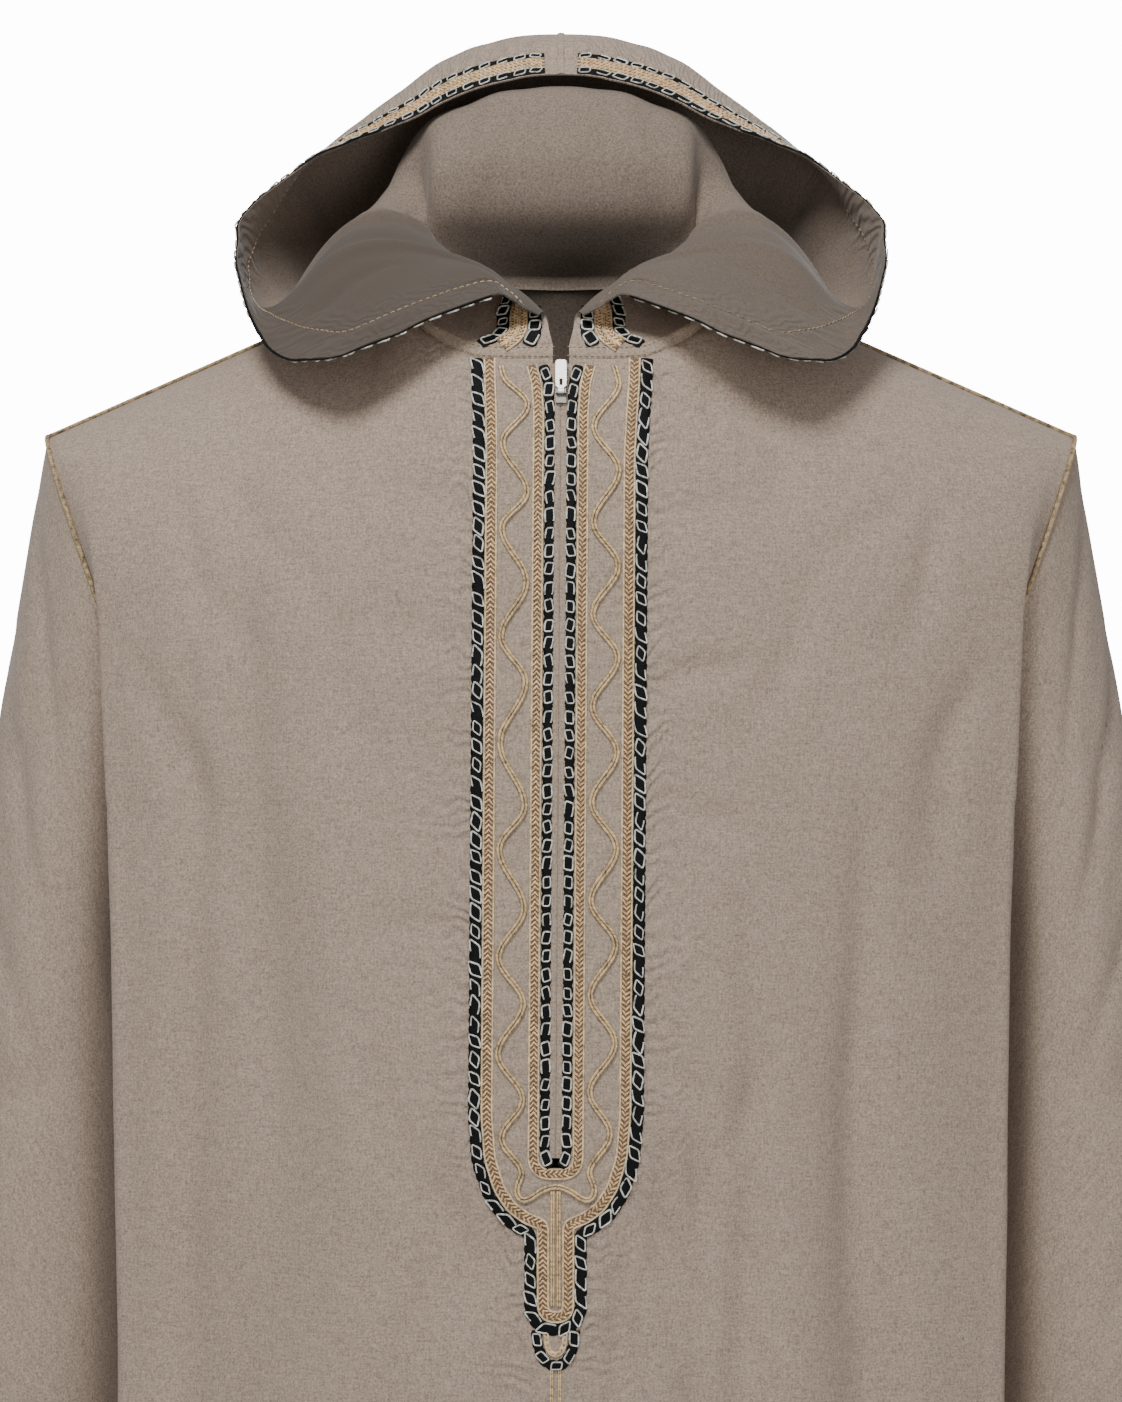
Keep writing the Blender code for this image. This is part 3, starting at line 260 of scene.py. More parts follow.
def points(rows):
    """Turn a list of places in mm into vectors in metres."""
    return [Vector(row) * MM for row in rows]


def catmull(p0, p1, p2, p3, t):
    """Point on the smooth curve from p1 to p2."""
    return 0.5 * (2 * p1 + (p2 - p0) * t + (2 * p0 - 5 * p1 + 4 * p2 - p3) * t * t
                  + (3 * p1 - p0 - 3 * p2 + p3) * t ** 3)


def smooth_path(knots, steps):
    """Smooth curve through knots, with a number of steps for each span."""
    padded = [2 * knots[0] - knots[1]] + list(knots) + [2 * knots[-1] - knots[-2]]
    path = [knots[0].copy()]
    for span, count in enumerate(steps):
        for step in range(1, count + 1):
            path.append(catmull(*padded[span:span + 4], step / count))
    return path


def path_length(path):
    """Length of a polyline."""
    return sum((b - a).length for a, b in zip(path, path[1:]))


def at_length(path, distance):
    """Point at a distance along a polyline."""
    for a, b in zip(path, path[1:]):
        span = (b - a).length
        if distance <= span:
            return a.lerp(b, distance / span)
        distance -= span
    return path[-1].copy()


def mirrored(point):
    """The same point on the other side."""
    return Vector((-point.x, point.y, point.z))


def grid_normals(rows, closed):
    """Unit normals of a grid of points, from the faces that meet there."""
    height, width = len(rows), len(rows[0])
    sums = [[Vector() for _ in range(width)] for _ in range(height)]
    for r in range(height - 1):
        for c in range(width if closed else width - 1):
            d = (c + 1) % width
            across = rows[r + 1][d] - rows[r][c]
            along = rows[r + 1][c] - rows[r][d]
            normal = along.cross(across)
            for rr, cc in ((r, c), (r, d), (r + 1, c), (r + 1, d)):
                sums[rr][cc] += normal
    return [[n.normalized() for n in row] for row in sums]


def fold_depth(folds, x, z, chest_x):
    """How far the largest folds push the cloth inwards at a place, less near the side fold."""
    fade = min(1.0, max(0.0, (FOLD_FADE[1] - chest_x) / (FOLD_FADE[1] - FOLD_FADE[0])))
    depth = 0.0
    for top_x, foot_x, half_width, size, start in folds:
        start *= MM
        if z < start:
            share = (start - z) / (start - SECTIONS[-1][0] * MM)
            centre = (top_x + (foot_x - top_x) * share) * MM
            ramp = min(1.0, (start - z) / FOLD_RAMP)
            depth += fade * size * MM * ramp * math.exp(-((x - centre) / (half_width * MM)) ** 2)
    return depth


def section_point(section, chest_x, side_step, back):
    """Point of a body section: on the front or back face, or behind its side fold."""
    z, fold_x, front_fold, side_x, front_side, back_side, front_y, back_y, back_fold = section
    fold_y = back_fold if back else front_fold
    side_y = back_side if back else front_side
    middle_y = back_y if back else front_y
    if side_step is not None:
        inward, share = side_step
        return Vector((fold_x + (side_x - fold_x) * inward, side_y + (fold_y - side_y) * share, z)) * MM
    widen = (fold_x - SECTIONS[0][1]) * max(0.0, (chest_x - 40) / (SECTIONS[0][1] - 40))
    x = chest_x + widen
    y = fold_y + (middle_y - fold_y) * (1 - (x / fold_x) ** FLAT_POWER)
    return Vector((x, y, z)) * MM


def drift(z):
    """Sideways lean of the front's centre line."""
    share = (z - DRIFT_TOP) / (DRIFT_FOOT - DRIFT_TOP)
    return CENTRE_DRIFT * min(1.0, max(0.0, share))


def top_edge_point(neck, share):
    """Point of a panel's top edge: 0 to 1 along the neck, 1 to 2 along the shoulder."""
    path = smooth_path(points(neck), [NECK_STEPS] * (len(neck) - 1))
    if share <= 1:
        return at_length(path, path_length(path) * share)
    return SIDE_NECK.lerp(SHOULDER_TIP, share - 1)


def panel_rows(neck, columns, back):
    """Grid of a front or back panel, from the neck and shoulder down to the hem."""
    folds = BACK_FOLDS if back else FRONT_FOLDS
    starts = [share for share, _ in columns] + list(SIDE_TOPS) + [2.0]
    chest = [(x, None) for _, x in columns] + [(None, step) for step in SIDE_STEPS] + [(None, (1.0, 0.0))]
    half = []
    for start, (x, side) in zip(starts, chest):
        top = top_edge_point(neck, start)
        foot = section_point(SECTIONS[0], x, side, back)
        neckness = max(0.0, 1 - start)
        column = []
        for step in range(YOKE_STEPS):
            angle = math.pi / 2 * step / YOKE_STEPS
            drop = 1 - math.cos(angle)
            reach = math.sin(angle) * (1 - neckness) + neckness * (1 - (1 - drop) ** 2.2)
            column.append(Vector((top.x + (foot.x - top.x) * drop, top.y + (foot.y - top.y) * reach,
                                  top.z + (foot.z - top.z) * drop)))
        column += [section_point(section, x, side, back) for section in SECTIONS]
        half.append((x if side is None else FOLD_FADE[1], column))
    inner = 0 if starts[0] > 0 else 1
    sheet = [(x, [mirrored(p) for p in column]) for x, column in reversed(half[inner:])] + half
    for chest_x, column in sheet:
        for r, point in enumerate(column):
            share = max(0.0, 1 - abs(point.x) / (100 * MM))
            lean = 0.0 if back else drift(point.z) * share
            push = fold_depth(folds, point.x, point.z, chest_x)
            column[r] = point + Vector((lean, -push if back else push, 0))
    return [list(row) for row in zip(*(column for _, column in sheet))]


def armhole_ring(front, back, side):
    """Armhole points from the shoulder tip down the front and up the back."""
    front_col = -1 if side > 0 else 0
    back_col = 0 if side > 0 else -1
    down = [front[r][front_col] for r in range(ARMHOLE_FOOT_ROW + 1)]
    up = [back[r][back_col] for r in range(ARMHOLE_FOOT_ROW - 1, 0, -1)]
    return down + up


def sleeve_rows(ring, side):
    """Grid of a sleeve from the armhole to the cuff."""
    count = len(ring)
    half = count // 2
    lines = []
    for i, start in enumerate(ring):
        turn = math.pi * i / half
        knots = [start + Vector((SLEEVE_SET_OFF.x * side, 0, SLEEVE_SET_OFF.z))]
        for z, inner, outer, depth in SLEEVE_RINGS:
            middle, reach = (inner + outer) / 2, (outer - inner) / 2
            ripple = 1 + SLEEVE_FOLD / MM / reach * math.cos(3 * turn + 0.6) * 0.5
            knots.append(Vector((side * (middle + reach * ripple * math.cos(turn)),
                                 -depth * ripple * math.sin(turn), z)) * MM)
        smooth = smooth_path(knots, [12] * (len(knots) - 1))
        length = path_length(smooth)
        lines.append([at_length(smooth, share * length) for share in SLEEVE_STEPS])
    return [list(row) for row in zip(*lines)]


def neck_rise(point):
    """Direction in which the band and the hood stand up from the neck edge."""
    lean = Vector((-point.x * 0.25, -point.y * 0.25, 0))
    return (Vector((0, 0, 100 * MM)) + lean).normalized()


def level_out(path):
    """Level directions away from the neck, along a path round it."""
    out = []
    for i, here in enumerate(path):
        along = path[min(i + 1, len(path) - 1)] - path[max(i - 1, 0)]
        across = Vector((along.y, -along.x, 0)).normalized()
        out.append(across if across.dot(Vector((here.x, here.y + 20 * MM, 0))) > 0 else -across)
    return out


def neck_edge():
    """Left half of the neck edge, at the panels' own columns, from the throat to the nape."""
    front = [top_edge_point(FRONT_NECK, share) for share, _ in FRONT_COLUMNS if share <= 1]
    back = [top_edge_point(BACK_NECK, share) for share, _ in BACK_COLUMNS if share < 1]
    return front + list(reversed(back))


def station_line(neck, station):
    """One hood station, from the band, up, over and out to the hood's edge."""
    start = neck + neck_rise(neck) * (BAND_HEIGHT + 2 * BAND_GAP)
    knots = [start] + points(station)
    line = smooth_path(knots, HOOD_STEPS)
    last = smooth_path(knots[-3:], [8, 8])[8:]
    span = path_length(last)
    step = min(TRIM_STEP, span * 0.31)
    return line[:-1] + [at_length(last, span - step * k) for k in (3, 2, 1)] + [knots[-1]]


def hood_rows():
    """Grid of the hood's left half: rows from the neck to the edge, throat first."""
    neck = neck_edge()
    del neck[NECK_SKIPPED]
    lines = [station_line(start, station) for start, station in zip(neck, HOOD_STATIONS)]
    rows = []
    for r in range(len(lines[0])):
        knots = [line[r] for line in lines]
        padded = [2 * knots[0] - knots[1]] + knots + [mirrored(knots[-2])]
        row = [knots[0]]
        for span, between in enumerate(HOOD_BETWEEN):
            for step in range(1, between + 2):
                share = step / (between + 1)
                smooth = catmull(*padded[span:span + 4], share)
                row.append(knots[span].lerp(knots[span + 1], share) if r == 0 else smooth)
        row[-1] = Vector((STRIP_HALF + STRIP_GAP, row[-1].y, row[-1].z))
        rows.append(row)
    skipped = neck_edge()[NECK_SKIPPED]
    rows[0][SKIPPED_COLUMN] = skipped + neck_rise(skipped) * (BAND_HEIGHT + 2 * BAND_GAP)
    return rows


class Surface:
    """The front's outer face, to lay braids and cords on."""

    def __init__(self, rows):
        verts = [p for row in rows for p in row]
        width = len(rows[0])
        faces = []
        for r in range(len(rows) - 1):
            for c in range(width - 1):
                i, j = r * width + c, (r + 1) * width + c
                faces += [(i, i + 1, j + 1), (i, j + 1, j)]
        self.tree = BVHTree.FromPolygons(verts, faces)

    def at(self, x, z):
        """Point and outward direction of the cloth at a place seen from the front."""
        point, normal, _, _ = self.tree.ray_cast(Vector((x, -1.0, z)), Vector((0, 1, 0)))
        if normal.y > 0:
            normal = -normal
        return point, normal


def side_offsets(path, width):
    """Left and right edges of a flat braid along a path of (x, z) pairs."""
    left, right = [], []
    for i, here in enumerate(path):
        before = path[i - 1] if i > 0 else None
        after = path[i + 1] if i + 1 < len(path) else None
        first = (here - before).normalized() if before else (after - here).normalized()
        second = (after - here).normalized() if after else first
        along = (first + second).normalized()
        across = Vector((-along.y, along.x))
        stretch = 1 / max(0.5, across.dot(Vector((-second.y, second.x))))
        left.append(here + across * width / 2 * stretch)
        right.append(here - across * width / 2 * stretch)
    return left, right


def row_heights():
    """Heights of the front's rows near its centre line."""
    top, foot = FRONT_NECK[0][2] * MM, SECTIONS[0][0] * MM
    yoke = [top + (foot - top) * (1 - math.cos(math.pi / 2 * k / YOKE_STEPS)) for k in range(YOKE_STEPS)]
    return yoke + [section[0] * MM for section in SECTIONS]


def line_down(x, top, foot):
    """Points straight down from top to foot, one at each row of the front that they cross."""
    heights = [z for z in row_heights() if foot + ROW_CLEAR < z < top - ROW_CLEAR]
    return [Vector((x, z)) for z in [top] + heights + [foot]]


def flared(path):
    """Spread the upper ends of a path outwards at the throat."""
    out = []
    for p in path:
        share = max(0.0, (p.y - FLARE_Z) / (BRAID_TOP_Z - FLARE_Z))
        out.append(Vector((p.x + math.copysign(FLARE * share * share, p.x), p.y)))
    return out


def corner_arc(centre, radius, start, end):
    """Points of a round corner."""
    turns = [math.radians(start + (end - start) * k / CORNER_STEPS) for k in range(CORNER_STEPS + 1)]
    return [Vector((centre[0] + radius * math.cos(t), centre[1] + radius * math.sin(t))) for t in turns]


def both_sides(left):
    """A path down the left of the centre line and back up its other side."""
    return left + [Vector((-p.x, p.y)) for p in reversed(left) if p.x < -1e-6]


def u_loop(x, top, foot, radius):
    """Half of a U, from its upper end to the middle of its foot."""
    side = line_down(-x, top, foot + radius)
    return side + corner_arc((-x + radius, foot + radius), radius, 180, 270)[1:]


def wave_side(side, turns):
    """Wavy cord down one side, through its turns."""
    reaches = [WAVE_REACH if k % 2 == 0 else -WAVE_REACH for k in range(len(turns))]
    reaches[-2] = WAVE_LAST_REACH
    path = [Vector((side * (WAVE_X + reaches[0]), turns[0] * MM))]
    for k in range(len(turns) - 1):
        for step in range(1, WAVE_STEPS + 1):
            share = step / WAVE_STEPS
            ease = (1 - math.cos(math.pi * share)) / 2
            x = WAVE_X + reaches[k] + (reaches[k + 1] - reaches[k]) * ease
            z = turns[k] + (turns[k + 1] - turns[k]) * share
            path.append(Vector((side * x, z * MM)))
    return path


# Fine cloth, made smooth through the points of the solids


def run_through(line, steps, closed, mirror=False):
    """Finer line through a line of points, with a number of steps for each span."""
    if closed:
        padded = [line[-1]] + line + line[:2]
    else:
        padded = [2 * line[0] - line[1]] + line + [mirrored(line[-2]) if mirror else 2 * line[-1] - line[-2]]
    out = []
    for span, count in enumerate(steps):
        out += [catmull(*padded[span:span + 4], step / count) for step in range(count)]
    return out if closed else out + [line[-1].copy()]


def even_steps(lines, pitch, closed=False):
    """Steps for each span between neighbouring lines, so that no step is much over the pitch."""
    pairs = list(zip(lines, lines[1:] + lines[:1])) if closed else list(zip(lines, lines[1:]))
    steps = []
    for first, second in pairs:
        widest = max((b - a).length for a, b in zip(first, second))
        steps.append(max(1, round(widest / pitch(first[len(first) // 2]))))
    return steps


def refine(rows, pitch, closed=False, mirror=False):
    """Finer grid through a coarse one, and where each coarse row starts in it."""
    columns = [list(column) for column in zip(*rows)]
    across = even_steps(columns, pitch, closed)
    down = even_steps(rows, pitch)
    wide = [run_through(row, across, closed, mirror) for row in rows]
    tall = [run_through(list(column), down, False) for column in zip(*wide)]
    starts = [sum(down[:k]) for k in range(len(down) + 1)]
    return [list(row) for row in zip(*tall)], starts, across


def crease_push(creases, p, q):
    """Depth of the listed creases at a place (p, q) in mm on the cloth."""
    depth = 0.0
    for p0, q0, p1, q1, half_width, size in creases:
        along = Vector((p1 - p0, q1 - q0))
        length = along.length
        offset = Vector((p - p0, q - q0))
        share = offset.dot(along) / length ** 2
        if -0.15 < share < 1.15:
            swing = 0.35 * half_width * math.sin(5.1 * share + p0)
            away = (offset.x * along.y - offset.y * along.x) / length - swing
            width = half_width * (0.75 + 0.45 * share)
            if abs(away) < 3 * width:
                taper = max(0.0, math.sin(math.pi * (share + 0.15) / 1.3)) ** 0.8
                depth += size * taper * math.exp(-(away / width) ** 2)
    return depth * MM


def worn(rows, normals, creases, spots, rims, seed, wander=0.7):
    """Push creases and a slight unevenness into cloth, fading over its first rows and side columns."""
    width = len(rows[0])
    top, sides = rims
    out = []
    for r, row in enumerate(rows):
        line = []
        for c, point in enumerate(row):
            fade = smoothstep(0, top, r) * (smoothstep(0, sides, min(c, width - 1 - c)) if sides else 1)
            p, q = spots[r][c]
            rough = noise.noise(Vector((p / 70, q / 110, seed))) + 0.5 * noise.noise(
                Vector((p / 28, q / 45, seed + 9)))
            push = crease_push(creases, p, q) * (1 + 0.25 * rough) - wander * MM * rough
            line.append(point - normals[r][c] * push * fade)
        out.append(line)
    return out


def smoothstep(low, high, value):
    """Smooth step from 0 at low to 1 at high."""
    t = min(1.0, max(0.0, (value - low) / (high - low)))
    return t * t * (3 - 2 * t)


def cloth_uv(rows, closed, anchor_row=0):
    """Distances across and along the cloth at each grid point, in metres."""
    width = len(rows[0])
    down = [[0.0] * width]
    for r in range(1, len(rows)):
        down.append([down[-1][c] + (rows[r][c] - rows[r - 1][c]).length for c in range(width)])
    anchor = list(down[anchor_row])
    across = []
    for row in rows:
        line = [0.0]
        ring = row + row[:1] if closed else row
        for a, b in zip(ring, ring[1:]):
            line.append(line[-1] + (b - a).length)
        middle = 0.0 if closed else line[width // 2]
        across.append([u - middle for u in line])
    return across, [[v - anchor[c] for c, v in enumerate(row)] for row in down]


def linked(name, data):
    """New object in the scene."""
    thing = bpy.data.objects.new(name, data)
    bpy.context.scene.collection.objects.link(thing)
    return thing


def dropped(*things):
    """Remove helper pieces and their meshes."""
    for thing in things:
        mesh = thing.data
        bpy.data.objects.remove(thing, do_unlink=True)
        bpy.data.meshes.remove(mesh)


def applied(thing, name):
    """Smooth mesh of an object with its modifiers applied."""
    bpy.context.view_layer.update()
    graph = bpy.context.evaluated_depsgraph_get()
    mesh = bpy.data.meshes.new_from_object(thing.evaluated_get(graph))
    mesh.polygons.foreach_set("use_smooth", [True] * len(mesh.polygons))
    dropped(thing)
    mesh.name = name
    return mesh


def new_mesh(name, verts, faces, corner_uvs, material, smooth_angle=50):
    """Mesh piece with a UV in metres for every face corner."""
    mesh = bpy.data.meshes.new(name)
    mesh.from_pydata([tuple(v) for v in verts], [], faces)
    mesh.polygons.foreach_set("use_smooth", [True] * len(mesh.polygons))
    layer = mesh.uv_layers.new(name="Cloth")
    layer.data.foreach_set("uv", [value for pair in corner_uvs for value in pair])
    mesh.materials.append(material)
    mesh.validate()
    mesh.set_sharp_from_angle(angle=math.radians(smooth_angle))
    return linked(name, mesh)


def cloth_shell(name, rows, normals, thick, closed=False, hole=(), anchor_row=0, attributes=(), lined=True):
    """Thin closed shell of cloth whose outer face is the grid; its inner face shows the wrong side, darkened
    partly with painted shade.
    """
    height, width = len(rows), len(rows[0])
    across, down = cloth_uv(rows, closed, anchor_row)
    outer = [p for row in rows for p in row]
    inner = [p - n * thick for row, ns in zip(rows, normals) for p, n in zip(row, ns)]
    shift = len(outer)
    quads, uvs, edges = [], [], {}
    for r in range(height - 1):
        for c in range(width if closed else width - 1):
            if (r, c) in hole:
                continue
            d = (c + 1) % width
            quad = (r * width + c, r * width + d, (r + 1) * width + d, (r + 1) * width + c)
            corner = ((across[r][c], down[r][c]), (across[r][c + 1], down[r][d]),
                      (across[r + 1][c + 1], down[r + 1][d]), (across[r + 1][c], down[r + 1][c]))
            quads.append(quad)
            uvs.append(corner)
            for k in range(4):
                edges[(quad[k], quad[(k + 1) % 4])] = (corner[k], corner[(k + 1) % 4])
    a, b, c, _ = (outer[i] for i in quads[len(quads) // 2])
    facing = normals[quads[len(quads) // 2][0] // width][quads[len(quads) // 2][0] % width]
    flip = (b - a).cross(c - b).dot(facing) < 0
    faces, corner_uvs = [], []

    def put(face, pairs, turned):
        """Add a face with its corners' UVs."""
        faces.append(tuple(reversed(face)) if turned else tuple(face))
        corner_uvs.extend(reversed(pairs) if turned else pairs)

    for quad, corner in zip(quads, uvs):
        put(quad, corner, flip)
        put([i + shift for i in quad], corner, not flip)
    for (i, j), (uv_i, uv_j) in edges.items():
        if (j, i) not in edges:
            put((j, i, i + shift, j + shift), (uv_j, uv_i, uv_i, uv_j), flip)
    used = sorted({i for face in faces for i in face})
    renumber = {old: new for new, old in enumerate(used)}
    verts = outer + inner
    thing = new_mesh(name, [verts[i] for i in used],
                     [tuple(renumber[i] for i in face) for face in faces], corner_uvs, finish("cloth"))
    if lined:
        # The inner faces take the wrong side's finish, darkened partly by painted shade
        thing.data.materials.append(finish("reverse"))
        inward = [1 if k >= 2 * len(quads) or k % 2 else 0 for k in range(len(faces))]
        thing.data.polygons.foreach_set("material_index", inward)
    for label, values in attributes:
        layer = thing.data.attributes.new(label, "FLOAT", "POINT")
        flat = [v for row in values for v in row] * 2
        layer.data.foreach_set("value", [flat[i] for i in used])
    return thing


# Braids, cords and stitches on the cloth


class Path:
    """Line on the cloth: its points and the cloth's outward directions there."""

    def __init__(self, places, facings):
        self.places = places
        self.facings = facings

    def length(self):
        """Length along the line."""
        return path_length(self.places)

    def even(self, step):
        """The same line with points an even step apart."""
        total = self.length()
        count = max(2, round(total / step))
        places, facings, k, walked = [], [], 0, 0.0
        span = (self.places[1] - self.places[0]).length
        for i in range(count + 1):
            target = total * i / count
            while target > walked + span and k < len(self.places) - 2:
                walked += span
                k += 1
                span = (self.places[k + 1] - self.places[k]).length
            share = min(1.0, max(0.0, (target - walked) / max(span, 1e-9)))
            places.append(self.places[k].lerp(self.places[k + 1], share))
            facings.append(self.facings[k].lerp(self.facings[k + 1], share).normalized())
        return Path(places, facings)

    def frames(self):
        """Place, direction along, direction across and outward direction at each point."""
        last = len(self.places) - 1
        out = []
        for i, (place, facing) in enumerate(zip(self.places, self.facings)):
            along = (self.places[min(i + 1, last)] - self.places[max(i - 1, 0)]).normalized()
            across = along.cross(facing).normalized()
            out.append((place, along, across, across.cross(along).normalized()))
        return out

    def beside(self, offset, rise=0.0):
        """A line at one side of this one, or above it."""
        frames = self.frames()
        places = [place + across * offset + facing * rise for place, _, across, facing in frames]
        return Path(places, [facing for _, _, _, facing in frames])


def laid(surface, path, step=1.5 * MM):
    """Lay a path of (x, z) pairs on the cloth as a fine line."""
    dense = []
    for a, b in zip(path, path[1:]):
        count = max(1, math.ceil((b - a).length / step))
        dense += [a.lerp(b, k / count) for k in range(count)]
    dense.append(path[-1])
    smooth = dense
    for _ in range(3):
        middle = [(a + 2 * b + c) / 4 for a, b, c in zip(smooth, smooth[1:], smooth[2:])]
        smooth = [smooth[0]] + middle + [smooth[-1]]
    hits = [surface.at(p.x + drift(p.y), p.y) for p in smooth]
    return Path([h[0] for h in hits], [h[1] for h in hits])


def swept(name, line, profiles, material):
    """Closed solid whose cross-section follows a line; a profile is a list of (across, up)."""
    verts, faces, corner_uvs = [], [], []
    sides = len(profiles[0])
    walked, along_v, before = 0.0, [], line.places[0]
    for (place, _, across, facing), profile in zip(line.frames(), profiles):
        walked += (place - before).length
        before = place
        along_v.append(walked)
        verts += [place + across * x + facing * y for x, y in profile]
    for i in range(len(profiles) - 1):
        for k in range(sides):
            n = (k + 1) % sides
            faces.append((i * sides + k, (i + 1) * sides + k, (i + 1) * sides + n, i * sides + n))
            u0, u1 = profiles[i][k][0], profiles[i][n][0]
            corner_uvs += [(u0, along_v[i]), (u0, along_v[i + 1]), (u1, along_v[i + 1]), (u1, along_v[i])]
    ends = [range(sides), reversed(range((len(profiles) - 1) * sides, len(profiles) * sides))]
    for i, end in zip((0, len(profiles) - 1), ends):
        face = tuple(end)
        faces.append(face)
        corner_uvs += [(profiles[i][k % sides][0], along_v[i]) for k in face]
    return new_mesh(name, verts, faces, corner_uvs, material)


def pillow(width, height):
    """Cross-section of a flat braid: crowned on top, a little into the cloth below."""
    sink = 0.3 * MM
    top = [(x * width / 2, height * (1 - 0.75 * x ** 4)) for x in (-1 + 2 * k / 6 for k in range(7))]
    return top + [(width / 2, -sink), (-width / 2, -sink)]


def round_section(radius, sides=6, rise=0.0):
    """Cross-section of a cord."""
    return [(radius * math.cos(t), rise + radius * math.sin(t))
            for t in (math.pi - 2 * math.pi * k / sides for k in range(sides))]


def flat_braid(name, line, width, height, material, scallop=0.0, pitch=4.6 * MM):
    """Flat braid along a line; its edges can be scalloped."""
    profiles, walked, before = [], 0.0, line.places[0]
    for place in line.places:
        walked += (place - before).length
        before = place
        bulge = scallop * abs(math.sin(math.pi * walked / pitch)) ** 0.7
        profiles.append([(x + bulge * (1 if x > 0 else -1), y) for x, y in pillow(width, height)])
    return swept(name, line, profiles, material)


def cord(name, line, radius, material, rise=None, sides=6):
    """Cord that lies on the cloth along a line."""
    rise = radius * 0.75 if rise is None else rise
    section = round_section(radius, sides, rise)
    return swept(name, line, [section] * len(line.places), material)


def joined(name, parts):
    """Join pieces of one kind into one object."""
    verts, faces, corner_uvs, slots, materials = [], [], [], [], []
    for part in parts:
        mesh = part.data
        base = len(verts)
        verts += [v.co.copy() for v in mesh.vertices]
        layer = mesh.uv_layers[0].data
        for face in mesh.polygons:
            faces.append(tuple(base + i for i in face.vertices))
            corner_uvs += [tuple(layer[k].uv) for k in face.loop_indices]
            material = mesh.materials[face.material_index]
            if material not in materials:
                materials.append(material)
            slots.append(materials.index(material))
        dropped(part)
    whole = new_mesh(name, verts, faces, corner_uvs, materials[0])
    for material in materials[1:]:
        whole.data.materials.append(material)
    whole.data.polygons.foreach_set("material_index", slots)
    return whole


# Materials


def wire(tree, made, inputs):
    """Give a node's sockets their values or links; inputs are (socket, value or output) pairs."""
    for socket, value in inputs:
        if isinstance(value, bpy.types.NodeSocket):
            tree.links.new(value, made.inputs[socket])
        else:
            made.inputs[socket].default_value = value


def add_node(tree, kind, inputs=(), **settings):
    """Add a node with its settings and inputs."""
    made = tree.nodes.new(kind)
    for key, value in settings.items():
        setattr(made, key, value)
    wire(tree, made, inputs)
    return made


def maths(tree, operation, *values):
    """Add a maths node and return its output."""
    made = add_node(tree, "ShaderNodeMath", list(enumerate(values)), operation=operation)
    return made.outputs[0]


def bare_material(name):
    """Empty material with its tree and Principled shader."""
    material = bpy.data.materials.new(name)
    material.use_nodes = True
    return material, material.node_tree, material.node_tree.nodes["Principled BSDF"]


def new_material(name):
    """Empty material with its tree, Principled shader and UV coordinates."""
    material, tree, shader = bare_material(name)
    place = add_node(tree, "ShaderNodeUVMap", uv_map="Cloth")
    split = add_node(tree, "ShaderNodeSeparateXYZ", [(0, place.outputs["UV"])])
    return material, tree, shader, split.outputs["X"], split.outputs["Y"]


def object_noise(tree, scale, detail):
    """Even noise in the piece's own space."""
    place = add_node(tree, "ShaderNodeTexCoord").outputs["Object"]
    made = add_node(tree, "ShaderNodeTexNoise", [("Vector", place), ("Scale", scale), ("Detail", detail)])
    return made.outputs["Fac"]


def strands(tree, slant, pitch):
    """Round strands across a slanting distance, from 0 between two of them to 1."""
    wave = maths(tree, "SINE", maths(tree, "MULTIPLY", slant, math.pi / pitch))
    return maths(tree, "ABSOLUTE", wave)


def stretched_noise(tree, across, along, size_across, size_along, seed=0.0, detail=2.0):
    """Noise with its own size in metres across and along the cloth."""
    u = maths(tree, "DIVIDE", across, size_across)
    v = maths(tree, "DIVIDE", along, size_along)
    place = add_node(tree, "ShaderNodeCombineXYZ", [(0, u), (1, v), (2, seed)])
    made = add_node(tree, "ShaderNodeTexNoise",
                    [("Vector", place.outputs[0]), ("Scale", 1.0), ("Detail", detail)])
    return made.outputs["Fac"]


def tinted(tree, amount, low, high):
    """Colour between two colours by an amount from 0 to 1; the first can be a socket."""
    inputs = [(0, amount), (6, low if isinstance(low, bpy.types.NodeSocket) else (*low, 1)), (7, (*high, 1))]
    return add_node(tree, "ShaderNodeMix", inputs, data_type="RGBA").outputs[2]


def scaled(colour, factor):
    """Colour made lighter or darker."""
    return tuple(min(1.0, c * factor) for c in colour)


def bumped(tree, shader, height, strength, depth):
    """Connect a height in 0 to 1 to the shader's normal."""
    bump = add_node(tree, "ShaderNodeBump",
                    [("Height", height), ("Strength", strength), ("Distance", depth)])
    tree.links.new(bump.outputs[0], shader.inputs["Normal"])


